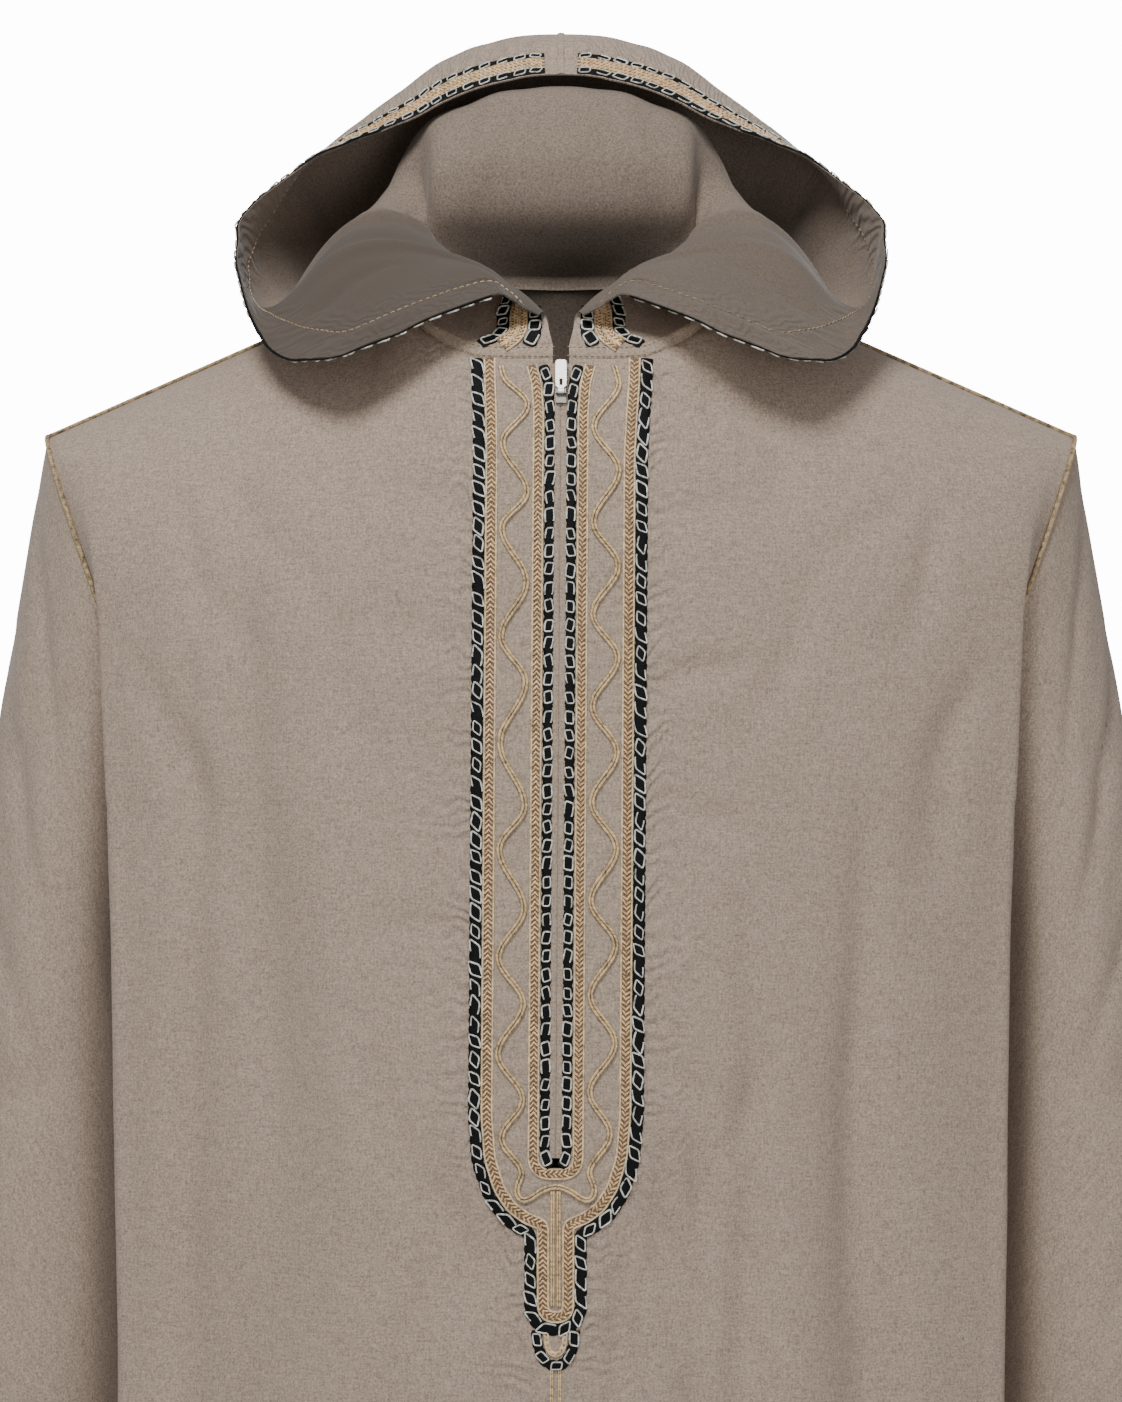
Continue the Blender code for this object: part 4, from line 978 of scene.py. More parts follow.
def cloth_material(name, colour, pitch, inner=1.0):
    """Matte plain-weave cloth with fine slubs in both thread directions."""
    material, tree, shader, u, v = new_material(name)
    # A factor below 1 darkens the wrong side, partly for its own tone and partly as painted shade
    base = scaled(colour, inner)
    turn = math.pi / pitch
    warp = maths(tree, "SINE", maths(tree, "MULTIPLY", u, turn))
    weft = maths(tree, "SINE", maths(tree, "MULTIPLY", v, turn))
    over = maths(tree, "MULTIPLY", warp, weft)
    weave = maths(tree, "MULTIPLY_ADD", over, 0.5, 0.5)
    # Slubs: thicker stretches of single threads
    long_slub = stretched_noise(tree, u, v, 0.8 * MM, 7 * MM, 3.1)
    cross_slub = stretched_noise(tree, u, v, 7 * MM, 0.8 * MM, 7.7)
    fuzz = object_noise(tree, 1 / (1.0 * MM), 3.0)
    blotch = stretched_noise(tree, u, v, 70 * MM, 90 * MM, 1.0)
    threads = maths(tree, "ADD", long_slub, cross_slub)
    share = 0.7 if inner == 1.0 else 0.3
    tone = maths(tree, "MULTIPLY_ADD", threads, share, -0.625 - share)
    tone = maths(tree, "ADD", tone, maths(tree, "MULTIPLY", blotch, 0.15))
    tone = maths(tree, "ADD", tone, maths(tree, "MULTIPLY", fuzz, 2.1))
    shade = tinted(tree, tone, scaled(base, 0.62), scaled(base, 1.38))
    if inner < 1.0:
        # Painted shade: the hood's turned-out front is mixed towards a much darker colour, more on one side
        # than the other
        deep = add_node(tree, "ShaderNodeAttribute", attribute_name="deep").outputs["Fac"]
        shade = tinted(tree, deep, shade, scaled(base, 0.3))
    wire(tree, shader, [("Base Color", shade), ("Roughness", 0.88), ("Specular IOR Level", 0.25),
                        ("Sheen Weight", 0.18), ("Sheen Roughness", 0.5)])
    # Puckers beside sewn lines, as deep as the mesh says
    pucker = add_node(tree, "ShaderNodeAttribute", attribute_name="pucker").outputs["Fac"]
    swing = stretched_noise(tree, u, v, 16 * MM, 30 * MM, 2.0, 1.0)
    turns = maths(tree, "MULTIPLY", v, 2 * math.pi / (8.5 * MM))
    phase = maths(tree, "MULTIPLY_ADD", swing, 26.0, turns)
    ripple = maths(tree, "MULTIPLY", maths(tree, "SINE", phase), pucker)
    height = maths(tree, "MULTIPLY_ADD", threads, 0.43 * share, maths(tree, "MULTIPLY", weave, 0.16))
    height = maths(tree, "MULTIPLY_ADD", fuzz, 0.12, height)
    height = maths(tree, "MULTIPLY_ADD", ripple, 2.4, height)
    bumped(tree, shader, height, 0.8, 0.30 * MM)
    return material


def plait_material(name, colour, pitch, width):
    """Satin braid plaited in a herringbone of slanting strands, with painted shade between the strands."""
    material, tree, shader, u, v = new_material(name)
    side = maths(tree, "ABSOLUTE", u)
    rough = stretched_noise(tree, u, v, 1.2 * MM, 2.4 * MM, 4.0, 3.0)
    slant = maths(tree, "ADD", v, maths(tree, "MULTIPLY", side, 1.5))
    slant = maths(tree, "ADD", slant, maths(tree, "MULTIPLY", rough, 0.9 * MM))
    # Painted shade: the plait under the raised strands is dark and darkest between its strands; it is also a
    # little darker along its middle. The slanting stripes are the braid's own pattern.
    ridge = maths(tree, "POWER", strands(tree, slant, pitch), 0.7)
    spine = maths(tree, "MINIMUM", maths(tree, "DIVIDE", side, 0.07 * width), 1.0)
    tone = maths(tree, "MULTIPLY", ridge, maths(tree, "MULTIPLY_ADD", spine, 0.35, 0.65))
    tone = maths(tree, "MULTIPLY_ADD", rough, 0.55, maths(tree, "MULTIPLY", tone, 0.62))
    shade = tinted(tree, tone, scaled(colour, 0.08), scaled(colour, 0.40))
    wire(tree, shader, [("Base Color", shade), ("Roughness", 0.6), ("Specular IOR Level", 0.45),
                        ("Sheen Weight", 0.1)])
    bumped(tree, shader, tone, 1.0, 0.45 * MM)
    return material


def twisted_material(name, colour, pitch, radius, roughness):
    """Cord of twisted threads: slanting stripes round it, with a painted highlight along its middle and
    painted shade towards its sides.
    """
    material, tree, shader, u, v = new_material(name)
    lean = maths(tree, "MULTIPLY", u, 1.1)
    rough = stretched_noise(tree, u, v, 0.8 * MM, 2.0 * MM, 8.0)
    slant = maths(tree, "ADD", maths(tree, "ADD", v, lean), maths(tree, "MULTIPLY", rough, 0.5 * MM))
    strand = strands(tree, slant, pitch)
    # Painted light and shade: lightest along the middle of each cord or strand and darker towards its sides
    edge = maths(tree, "SUBTRACT", 1.0, maths(tree, "MULTIPLY", maths(tree, "ABSOLUTE", u), 0.6 / radius))
    tone = maths(tree, "MULTIPLY", maths(tree, "MULTIPLY_ADD", strand, 0.5, 0.5), edge)
    tone = maths(tree, "MULTIPLY_ADD", rough, 0.3, maths(tree, "MULTIPLY", tone, 0.8))
    patch = object_noise(tree, 420.0, 1.0)
    tone = maths(tree, "MULTIPLY_ADD", patch, 1.5, maths(tree, "SUBTRACT", tone, 0.75))
    shade = tinted(tree, tone, scaled(colour, 0.16), scaled(colour, 1.6))
    wire(tree, shader, [("Base Color", shade), ("Roughness", roughness), ("Sheen Weight", 0.1)])
    bumped(tree, shader, tone, 0.8, 0.25 * MM)
    return material


def dark_material(name, colour):
    """Black-blue satin braid of close cross threads."""
    material, tree, shader, u, v = new_material(name)
    threads = stretched_noise(tree, u, v, 2.5 * MM, 0.5 * MM, 6.0, 3.0)
    tufts = stretched_noise(tree, u, v, 2.2 * MM, 3.5 * MM, 9.0)
    tone = maths(tree, "MULTIPLY_ADD", threads, 0.6, maths(tree, "MULTIPLY", tufts, 0.5))
    shade = tinted(tree, tone, scaled(colour, 0.35), scaled(colour, 2.0))
    wire(tree, shader, [("Base Color", shade), ("Roughness", 0.6), ("Specular IOR Level", 0.15)])
    bumped(tree, shader, tone, 1.0, 0.6 * MM)
    return material


def metal_material(name, colour, roughness):
    """Bright cast metal with fine wear."""
    material, tree, shader = bare_material(name)
    grain, scuff = object_noise(tree, 900.0, 3.0), object_noise(tree, 220.0, 2.0)
    wire(tree, shader, [("Base Color", tinted(tree, scuff, scaled(colour, 0.85), scaled(colour, 1.08))),
                        ("Metallic", 0.9), ("Roughness", maths(tree, "MULTIPLY_ADD", grain, 0.2, roughness))])
    bumped(tree, shader, grain, 0.3, 0.02 * MM)
    return material


def plain_material(name, colour, roughness):
    """Plain matt backdrop with a slight mottling."""
    material, tree, shader = bare_material(name)
    shade = tinted(tree, object_noise(tree, 3.0, 2.0), scaled(colour, 0.97), scaled(colour, 1.03))
    wire(tree, shader, [("Base Color", shade), ("Roughness", roughness)])
    return material


@functools.lru_cache(maxsize=None)
def finish(key):
    """Material of a finish, made once from the panel's colours and sizes."""
    robe, trim = bpy.context.scene.robe_cloth, bpy.context.scene.robe_trim
    pitch = robe.thread_pitch * MM
    make, *details = {
        # Matte taupe plain-weave cloth, and its wrong side, darker partly as the wrong side's own tone and
        # partly as painted shade of the robe's insides
        "cloth": (cloth_material, "Taupe_Plain_Weave", robe.colour, pitch),
        "reverse": (cloth_material, "Taupe_Weave_Reverse", robe.colour, pitch, robe.reverse),
        # Gold and cream satin braid, plaited in a herringbone, and its raised strands
        "plait": (plait_material, "Gold_Herringbone_Braid", trim.gold, 1.9 * MM, GOLD_OUT_WIDTH),
        "strand": (twisted_material, "Gold_Plait_Strand", trim.gold, 1.2 * MM, 1.1 * MM, 0.3),
        # Cream cord sewn along both edges of a gold braid
        "edge_cord": (twisted_material, "Cream_Edge_Cord", trim.cream, 1.1 * MM, 1.2 * MM, 0.35),
        # Tan and cream twisted cord
        "wave_cord": (twisted_material, "Tan_Twisted_Cord", trim.tan, 2.2 * MM, 0.7 * MM, 0.3),
        # Thin tan cord over a seam
        "piping": (twisted_material, "Tan_Seam_Cord", scaled(trim.tan, 0.85), 1.6 * MM, 1.0 * MM, 0.6),
        # Black-blue looped braid, and the cream thread whipped over it
        "dark": (dark_material, "Black_Satin_Braid", trim.dark),
        "whip": (twisted_material, "Cream_Whipping_Thread", trim.whip, 0.9 * MM, 0.45 * MM, 0.4),
        # Sewing thread of the hems and facings
        "thread": (twisted_material, "Tan_Sewing_Thread", trim.thread, 0.5 * MM, 0.25 * MM, 0.6),
        # Bright nickel of the zip's pull, and duller nickel of the slider's body
        "zip_metal": (metal_material, "Bright_Nickel", rgb("f4f2ee"), 0.3),
        "zip_body": (metal_material, "Dull_Nickel", rgb("8f8a84"), 0.35),
    }[key]
    return make(*details)


# Creases in mm: x and z (or distances across and down the cloth) of both ends,
# half width, depth; a ridge has a negative depth

FRONT_CREASES = [
    (-156, -120, -150, -560, 17, 7.5), (-112, -250, -104, -600, 14, -3.8),
    (-186, -210, -196, -640, 11, 5.1), (150, -300, 158, -640, 12, 7.9),
    (92, -340, 96, -700, 11, 6), (66, -380, 70, -640, 10.2, 3.4),
    (50, -47, 66, -74, 5.3, 2.8), (58, -46, 80, -70, 4.9, 2.5), (68, -44, 98, -72, 6, 2.5),
    (47, -205, 92, -189, 7, 3.8), (48, -262, 96, -272, 10, 2.2), (-50, -330, -98, -318, 9.4, 2.5),
    (-44, -120, -88, -98, 10, 2.5), (-46, -180, -104, -172, 10.9, 2), (48, -120, 110, -104, 10.2, 2),
    (-41, -452, -30, -500, 5.6, 3.8), (-49, -446, -46, -520, 7, 3.8), (-60, -438, -68, -540, 8.6, 3.4),
    (39, -448, 48, -500, 6, 4.1), (50, -440, 66, -520, 7.7, 4.2), (62, -430, 92, -500, 9, 3.4),
    (30, -470, 34, -560, 7, 3.2), (-24, -480, -30, -580, 7.7, 3.2), (44, -380, 76, -420, 8.6, 2.5),
    (-196, -110, -168, -180, 9, 2.8), (-178, -98, -120, -150, 9, 1.8), (196, -112, 170, -184, 9, 2.8),
    (180, -98, 128, -150, 9, 1.7), (-206, -196, -176, -300, 11.6, 4.8), (207, -200, 182, -300, 11.6, 4.5),
    (-40, -640, -60, -1240, 20, 4.7), (30, -700, 52, -1300, 22, 4.7), (-150, -700, -200, -1300, 20, 4),
    (210, -760, 260, -1300, 20, 4), (-250, -800, -300, -1320, 18, 3.7),
    (-43, -462, -56, -512, 4.6, 2.4), (47, -462, 60, -530, 6, 3), (30, -500, 34, -590, 6.5, 2.6),
    (-96, -396, -60, -470, 9, 2.6), (104, -380, 70, -470, 9, 2.6), (128, -150, 92, -230, 10, 2.4),
    (-128, -150, -96, -240, 10, 2.2), (70, -560, 84, -690, 9, 4), (-84, -560, -92, -690, 10, 3.2),
]
BACK_CREASES = [
    (0, -60, 4, -420, 16, 1.8), (-60, -40, -120, -120, 10, 1.4), (62, -42, 116, -124, 10, 1.3),
    (-150, -140, -110, -420, 13, 2.4), (154, -150, 118, -410, 12, 2.4), (-190, -170, -150, -330, 9, 1.6),
    (192, -180, 154, -320, 9, 1.6), (-60, -420, -90, -1200, 18, 2.8), (64, -460, 96, -1240, 18, 2.6),
    (8, -520, -10, -1300, 20, -2.2), (-160, -520, -220, -1300, 18, 2.6), (168, -540, 240, -1300, 19, 2.8),
]
# Across from the shoulder line at the front, and down from the armhole
SLEEVE_CREASES = [
    (18, 30, 92, 120, 9.0, 3.0), (10, 110, 84, 196, 9.5, 3.4), (104, 60, 40, 150, 8.0, 2.0),
    (16, 214, 96, 262, 8.0, 2.8), (100, 246, 44, 330, 9.0, 2.8), (20, 330, 100, 398, 9.0, 3.0),
    (60, 40, 52, 560, 12, 1.6), (96, 420, 30, 500, 8.0, 2.2), (180, 60, 250, 160, 10, 2.4),
    (240, 190, 176, 290, 10, 2.6), (184, 320, 250, 430, 10, 2.4), (300, 90, 320, 380, 11, 2.2),
]
# Across from the throat and down from the neck, on the hood
HOOD_CREASES = [
    (-120, 60, -60, 150, 7, 2.7), (-60, 40, 10, 140, 9, 3.2), (40, 160, 90, 250, 9, 3.9),
    (-20, 190, 60, 300, 10, 3.9), (-90, 170, -40, 260, 8, 3.2), (70, 60, 120, 130, 8, 2.7),
    (-140, 230, -96, 300, 7, 2.8), (-112, 120, -76, 206, 6, -2.1), (0, 120, 34, 214, 8, -2.4),
    (100, 190, 126, 280, 8, 2.8), (-64, 236, -34, 318, 6.5, 2.4), (20, 250, 70, 330, 7, 2.2),
    (-170, 186, -100, 240, 5, 3), (-190, 140, -120, 212, 6, 3),
]

# Puckers beside the front's braids: half width that they leave flat, and how it narrows below
# the loop, how far they reach, what is left between the braids, and where they end
PUCKER_EDGE, PUCKER_TIP, PUCKER_TAPER, PUCKER_FADE = 43 * MM, 14 * MM, 0.62, 15 * MM
PUCKER_INSIDE, PUCKER_END_X, PUCKER_FOOT_Z = 0.22, 0.11, (-575 * MM, -545 * MM)
# Puckers along the hood's edge, and how strongly painted shade darkens its turned-out front on each side
HOOD_PUCKER, HOOD_PAINTED_SHADE = 0.5, {1: 0.62, -1: 0.92}
# Size of the mesh's cells, and how far down it is fine on the front and back
FRONT_PITCH, BACK_PITCH, SKIRT_PITCH = 4.6 * MM, 8 * MM, 10 * MM
SLEEVE_PITCH, HOOD_PITCH = 7 * MM, 4.6 * MM
FINE_FRONT_Z, FINE_BACK_Z = -0.62, -0.20
BODY = "robe"


def sewn(thing, slot, *nodes, body=BODY):
    """Let a piece ride on a body and stand for its solids; its slot is not used."""
    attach(thing, body)
    if nodes:
        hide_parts(*nodes)
    return thing


def turned(normals, factor):
    """Normals times a factor."""
    return [[n * factor for n in row] for row in normals]


def cloth_spots(rows, closed):
    """Distances across and down the cloth in mm at each grid point."""
    return [[(u / MM, v / MM) for u, v in zip(us, vs)] for us, vs in zip(*cloth_uv(rows, closed))]


@functools.lru_cache(maxsize=None)
def coarse_panels():
    """Grids of the front and back solids' outer faces."""
    front = panel_rows(FRONT_NECK, FRONT_COLUMNS, False)
    back = [list(reversed(row)) for row in panel_rows(BACK_NECK, BACK_COLUMNS, True)]
    return front, back


@functools.lru_cache(maxsize=None)
def panel_cloth(back):
    """Fine worn grid of a panel, its outward directions, row starts and column steps."""
    coarse = coarse_panels()[1 if back else 0]
    fine_z, fine = (FINE_BACK_Z, BACK_PITCH) if back else (FINE_FRONT_Z, FRONT_PITCH)

    def pitch(point):
        """Size of the mesh's cells at a place."""
        return fine if point.z > fine_z else SKIRT_PITCH

    rows, starts, across = refine(coarse, pitch)
    creases = BACK_CREASES if back else FRONT_CREASES
    spots = [[(p.x / MM, p.z / MM) for p in row] for row in rows]
    rows = worn(rows, grid_normals(rows, False), creases, spots, (5, 7), 3.0 if back else 1.0)
    return rows, grid_normals(rows, False), starts, across


@functools.lru_cache(maxsize=None)
def front_surface():
    """The front's visible outer face, to lay braids and cords on."""
    return Surface(panel_cloth(False)[0])


@functools.lru_cache(maxsize=None)
def sleeve_cloth(side):
    """Fine worn grid of a sleeve."""
    front, back = coarse_panels()
    coarse = sleeve_rows(armhole_ring(front, back, side), side)
    rows = refine(coarse, lambda p: SLEEVE_PITCH, closed=True)[0]
    normals = turned(grid_normals(rows, True), -side)
    rows = worn(rows, normals, SLEEVE_CREASES, cloth_spots(rows, True), (6, None), 5.0 + side, 1.1)
    return rows, turned(grid_normals(rows, True), -side)


@functools.lru_cache(maxsize=None)
def hood_cloth(side):
    """Fine worn grid of a hood half, with its row starts and column steps."""
    coarse = hood_rows()
    rows, starts, across_steps = refine(coarse, lambda p: HOOD_PITCH, mirror=True)
    normals = turned(grid_normals(rows, False), -1)
    rows = worn(rows, normals, HOOD_CREASES, cloth_spots(rows, False), (12, 8), 7.0, 1.5)
    for row in rows:
        row[-1].x = 0.0
    if side < 0:
        rows = [[mirrored(p) for p in row] for row in rows]
    normals = turned(grid_normals(rows, False), -side)
    for row in normals:
        row[-1].x = 0.0
        row[-1].normalize()
    return rows, normals, starts, across_steps


def pucker_of(rows):
    """How deep the puckers beside the braids are at each point of the front."""
    values = []
    for row in rows:
        line = []
        for p in row:
            x = abs(p.x - drift(p.z))
            narrower = max(0.0, LOOP_FOOT_Z - p.z) * PUCKER_TAPER
            reach = max(PUCKER_TIP, PUCKER_EDGE - narrower)
            depth = math.exp(-(x - reach) / PUCKER_FADE) if x > reach else PUCKER_INSIDE
            line.append(depth * smoothstep(*PUCKER_FOOT_Z, p.z) * (1 if x < PUCKER_END_X else 0))
        values.append(line)
    return values


# Repeats on the cloth: stitches and braid loops


def repeat_group():
    """Node group that sets a copy of a loop or stitch on every point."""
    group = bpy.data.node_groups.new("Repeat_On_Cloth", "GeometryNodeTree")
    face = group.interface
    for socket, kind in (("Places", "Geometry"), ("Loop", "Object"), ("Turn Spread", "Float"),
                         ("Size Spread", "Float"), ("Seed", "Int"), ("Finish", "Material")):
        face.new_socket(socket, in_out="INPUT", socket_type="NodeSocket" + kind)
    face.new_socket("Geometry", in_out="OUTPUT", socket_type="NodeSocketGeometry")
    start = add_node(group, "NodeGroupInput").outputs
    loop = add_node(group, "GeometryNodeObjectInfo", [("Object", start["Loop"])])
    outward, along = (add_node(group, "GeometryNodeInputNamedAttribute", [("Name", label)],
                               data_type="FLOAT_VECTOR").outputs[0] for label in ("outward", "along"))
    aim = add_node(group, "FunctionNodeAxesToRotation", [(0, outward), (1, along)],
                   primary_axis="Z", secondary_axis="X")
    lowest = maths(group, "MULTIPLY", start["Turn Spread"], -1.0)
    turn = add_node(group, "FunctionNodeRandomValue",
                    [(2, lowest), (3, start["Turn Spread"]), ("Seed", start["Seed"])],
                    data_type="FLOAT")
    spin = add_node(group, "ShaderNodeCombineXYZ", [(2, turn.outputs[1])])
    local = add_node(group, "FunctionNodeEulerToRotation", [(0, spin.outputs[0])])
    whole = add_node(group, "FunctionNodeRotateRotation",
                     [(0, aim.outputs[0]), (1, local.outputs[0])], rotation_space="LOCAL")
    small = maths(group, "SUBTRACT", 1.0, start["Size Spread"])
    large = maths(group, "ADD", 1.0, start["Size Spread"])
    other = maths(group, "ADD", start["Seed"], 11.0)
    size = add_node(group, "FunctionNodeRandomValue", [(2, small), (3, large), ("Seed", other)],
                    data_type="FLOAT")
    made = add_node(group, "GeometryNodeInstanceOnPoints",
                    [("Points", start["Places"]), ("Instance", loop.outputs["Geometry"]),
                     ("Rotation", whole.outputs[0]), ("Scale", size.outputs[1])])
    real = add_node(group, "GeometryNodeRealizeInstances", [(0, made.outputs[0])])
    coated = add_node(group, "GeometryNodeSetMaterial",
                      [("Geometry", real.outputs[0]), ("Material", start["Finish"])])
    add_node(group, "NodeGroupOutput", [(0, coated.outputs[0])])
    return group


def set_on(name, frames, loop, material, turn, size, seed):
    """Set a copy of a loop on every frame, made real as one object."""
    places = bpy.data.meshes.new(name + "_places")
    places.from_pydata([tuple(f[0]) for f in frames], [], [])
    for label, k in (("along", 1), ("outward", 3)):
        layer = places.attributes.new(label, "FLOAT_VECTOR", "POINT")
        layer.data.foreach_set("vector", [value for f in frames for value in f[k]])
    carrier = linked(name + "_places", places)
    group = bpy.data.node_groups.get("Repeat_On_Cloth") or repeat_group()
    modifier = carrier.modifiers.new("Repeat", "NODES")
    modifier.node_group = group
    values = {"Loop": loop, "Turn Spread": turn, "Size Spread": size, "Seed": seed, "Finish": material}
    for item in group.interface.items_tree:
        if item.in_out == "INPUT" and item.name in values:
            modifier[item.identifier] = values[item.name]
    return linked(name, applied(carrier, name))


def stitched(name, line, length=2.6 * MM, spacing=3.6 * MM, radius=0.3 * MM):
    """Row of sewn stitches along a line on the cloth."""
    stitch = wire_loop("Stitch", [Vector((x * length / 2, 0, z * MM)) for x, z in STITCH], radius, False)
    thing = set_on(name, line.even(spacing).frames(), stitch, finish("thread"), 0.06, 0.05, 5)
    dropped(stitch)
    return thing


def wire_loop(name, path, radius, closed, sides=5):
    """Small wire shape in its own flat place, to be set on the cloth."""
    verts, faces, corner_uvs, count = [], [], [], len(path)
    for i, here in enumerate(path):
        before = path[(i - 1) % count] if closed or i > 0 else here
        after = path[(i + 1) % count] if closed or i + 1 < count else here
        along = (after - before).normalized()
        across = Vector((along.y, -along.x, 0))
        for k in range(sides):
            t = 2 * math.pi * k / sides
            verts.append(here + across * radius * math.cos(t) + Vector((0, 0, radius * math.sin(t))))
    for i in range(count if closed else count - 1):
        j = (i + 1) % count
        for k in range(sides):
            n = (k + 1) % sides
            faces.append((i * sides + k, i * sides + n, j * sides + n, j * sides + k))
            u0, u1 = radius * (k / sides - 0.5) * 2, radius * ((k + 1) / sides - 0.5) * 2
            v0, v1 = i * 0.6 * MM, (i + 1) * 0.6 * MM
            corner_uvs += [(u0, v0), (u1, v0), (u1, v1), (u0, v1)]
    if not closed:
        for end in (tuple(reversed(range(sides))), tuple(range((count - 1) * sides, count * sides))):
            faces.append(end)
            corner_uvs += [(0.0, 0.0)] * sides
    return new_mesh(name, verts, faces, corner_uvs, finish("whip"), 180)


def rounded_frame(tall, wide, skew, start=0.0, end=1.0, steps=22):
    """Points of a rounded slanting frame, or of a part of it."""
    path = []
    count = steps if end - start >= 1 else steps + 1
    for k in range(count):
        t = 2 * math.pi * (start + (end - start) * k / steps)
        x = math.copysign(abs(math.cos(t)) ** 0.4, math.cos(t)) * tall / 2
        y = math.copysign(abs(math.sin(t)) ** 0.4, math.sin(t)) * wide / 2
        path.append(Vector((x + skew * y, y, 0)))
    return path


def whipped(name, line, width, slant, seed, open_share):
    """Cream thread loops whipped along a dark braid: closed frames and open hooks."""
    trim = bpy.context.scene.robe_trim
    tall, wide, radius = trim.loop_size * MM, width * 0.88, trim.loop_thread * MM
    frame_loop = wire_loop("Loop_Frame", rounded_frame(tall, wide, slant), radius, True)
    hook = wire_loop("Loop_Hook", rounded_frame(tall * 1.05, wide, slant * 1.3, 0.1, 0.86), radius, False)
    count = max(1, round(line.length() / (trim.loop_spacing * MM)))
    frames = line.even(line.length() / (2 * count)).frames()[1::2]
    chooser = random.Random(seed)
    sorted_frames = {frame_loop: [], hook: []}
    for f in frames:
        kind = hook if chooser.random() < open_share else frame_loop
        sorted_frames[kind].append((f[0] + f[1] * chooser.uniform(-0.6, 0.6) * MM,) + f[1:])
    parts = [set_on(name, chosen, loop, finish("whip"), 0.26, 0.15, seed)
             for loop, chosen in sorted_frames.items() if chosen]
    dropped(frame_loop, hook)
    return joined(name, parts)


# Paths of the braids and cords on the front, as pairs of (x, z)


def placket_paths():
    """Centre lines of everything sewn down the front."""
    gold = line_down(-GOLD_OUT_X, BRAID_TOP_Z + 3.6 * MM, LOOP_FOOT_Z) + points(SHOULDER_GOLD)
    gold = both_sides(gold + u_loop(STEM_X, STEM_TOP_Z, STEM_FOOT_Z, 5 * MM))
    for p in gold:
        # The braids spread a little at the throat
        spread = 1.4 * MM if p.x < 0 else 2.6 * MM
        p.x += math.copysign(smoothstep(-88 * MM, -38 * MM, p.y) * spread, p.x)
    turn = points(WAVE_FOOT)
    wave = wave_side(-1, WAVE_TURNS_RIGHT) + turn + [Vector((-p.x, p.y)) for p in reversed(turn[:-1])]
    wave += list(reversed(wave_side(1, WAVE_TURNS_LEFT)))
    wave = [wave[0] + Vector((-0.6, 3.6)) * MM] + wave + [wave[-1] + Vector((-2.6, 8.5)) * MM]
    paths = {
        "gold_outer": gold,
        "dark_outer": side_offsets(gold, -2 * OUTER_SPACING)[0],
        "gold_inner": both_sides(flared(u_loop(GOLD_IN_X, BRAID_TOP_Z, -446 * MM, 7 * MM))),
        "wave": wave,
        "tip_gold": both_sides(points(TIP_GOLD)),
        "tip_dark": both_sides(points(TIP_DARK)),
    }
    for word, side in SIDES:
        inner = flared(line_down(-DARK_IN_X, BRAID_TOP_Z, -434 * MM)) + points(INNER_FOOT)
        paths["dark_inner_" + word] = [Vector((-side * p.x, p.y)) for p in inner]
        paths["stem_" + word] = line_down(side * CORD_PAIR_X, -454.4 * MM, -511.5 * MM)
        paths["front_" + word] = line_down(side * FRONT_CORD_X, -543 * MM, SECTIONS[-1][0] * MM + 2 * MM)
    return paths


def plaited(name, line, width, height=BRAID_HEIGHT):
    """Flat braid with raised strands in a herringbone."""
    base = flat_braid(name, line, width, height * 0.55, finish("plait"))
    reach, slope = width / 2 - 0.1 * MM, 1.1 * MM
    path = [Vector((slope * (2 * abs(y) ** 0.8 - 1), y * reach, lift * MM)) for y, lift in STRAND]
    strand = wire_loop("Strand", path, 0.48 * MM, False)
    raised = line.beside(0.0, height * 0.5).even(2.5 * MM)
    laid_over = set_on(name, raised.frames()[1:-1], strand, finish("strand"), 0.2, 0.14, 21)
    dropped(strand)
    return [base, laid_over]


def gold_braid(name, line, width):
    """Herringbone braid between two cream cords."""
    edge = 0.54 * MM
    cords = [cord(name, line.beside(side * (width / 2 - edge)), edge, finish("edge_cord"))
             for side in (-1, 1)]
    return joined(name, plaited(name, line, width - 3.0 * edge) + cords)


def dark_braid(name, line, width):
    """Black braid with looped, scalloped edges."""
    return flat_braid(name, line, width - 0.4 * MM, DARK_HEIGHT, finish("dark"), 0.75 * MM,
                      bpy.context.scene.robe_trim.loop_spacing * MM / 2)


def double_cord(name, line, width):
    """Two twisted cords sewn side by side."""
    radius = width / 4 * 1.02
    parts = [cord(name, line.beside(side * width / 4 * 1.04), radius, finish("wave_cord"), radius, 8)
             for side in (-1, 1)]
    return joined(name, parts)


# Operators


class ROBE_OT_panels(bpy.types.Operator):
    """Make the front and back of the robe in worn cloth"""
    bl_idname = "robe.panels"
    bl_label = "Front and Back"

    def execute(self, context):
        thick = context.scene.robe_cloth.thickness * MM
        for name, back in (("front", False), ("back", True)):
            rows, normals, starts, across = panel_cloth(back)
            hole, attributes = (), ()
            if not back:
                middle = len(FRONT_COLUMNS) + len(SIDE_STEPS)
                first = sum(across[:middle])
                hole = {(r, c) for r in range(starts[SLIT_FOOT_ROW])
                        for c in range(first, first + across[middle])}
                attributes = (("pucker", pucker_of(rows)),)
            thing = cloth_shell("Robe_" + name, rows, normals, thick, hole=hole,
                                anchor_row=starts[YOKE_STEPS], attributes=attributes)
            sewn(thing, "taupe_cloth", name)
            sewn(stitched("Robe_" + name + "_hem_stitches", Path(rows[-3], normals[-3])), "taupe_cloth")
        return {"FINISHED"}


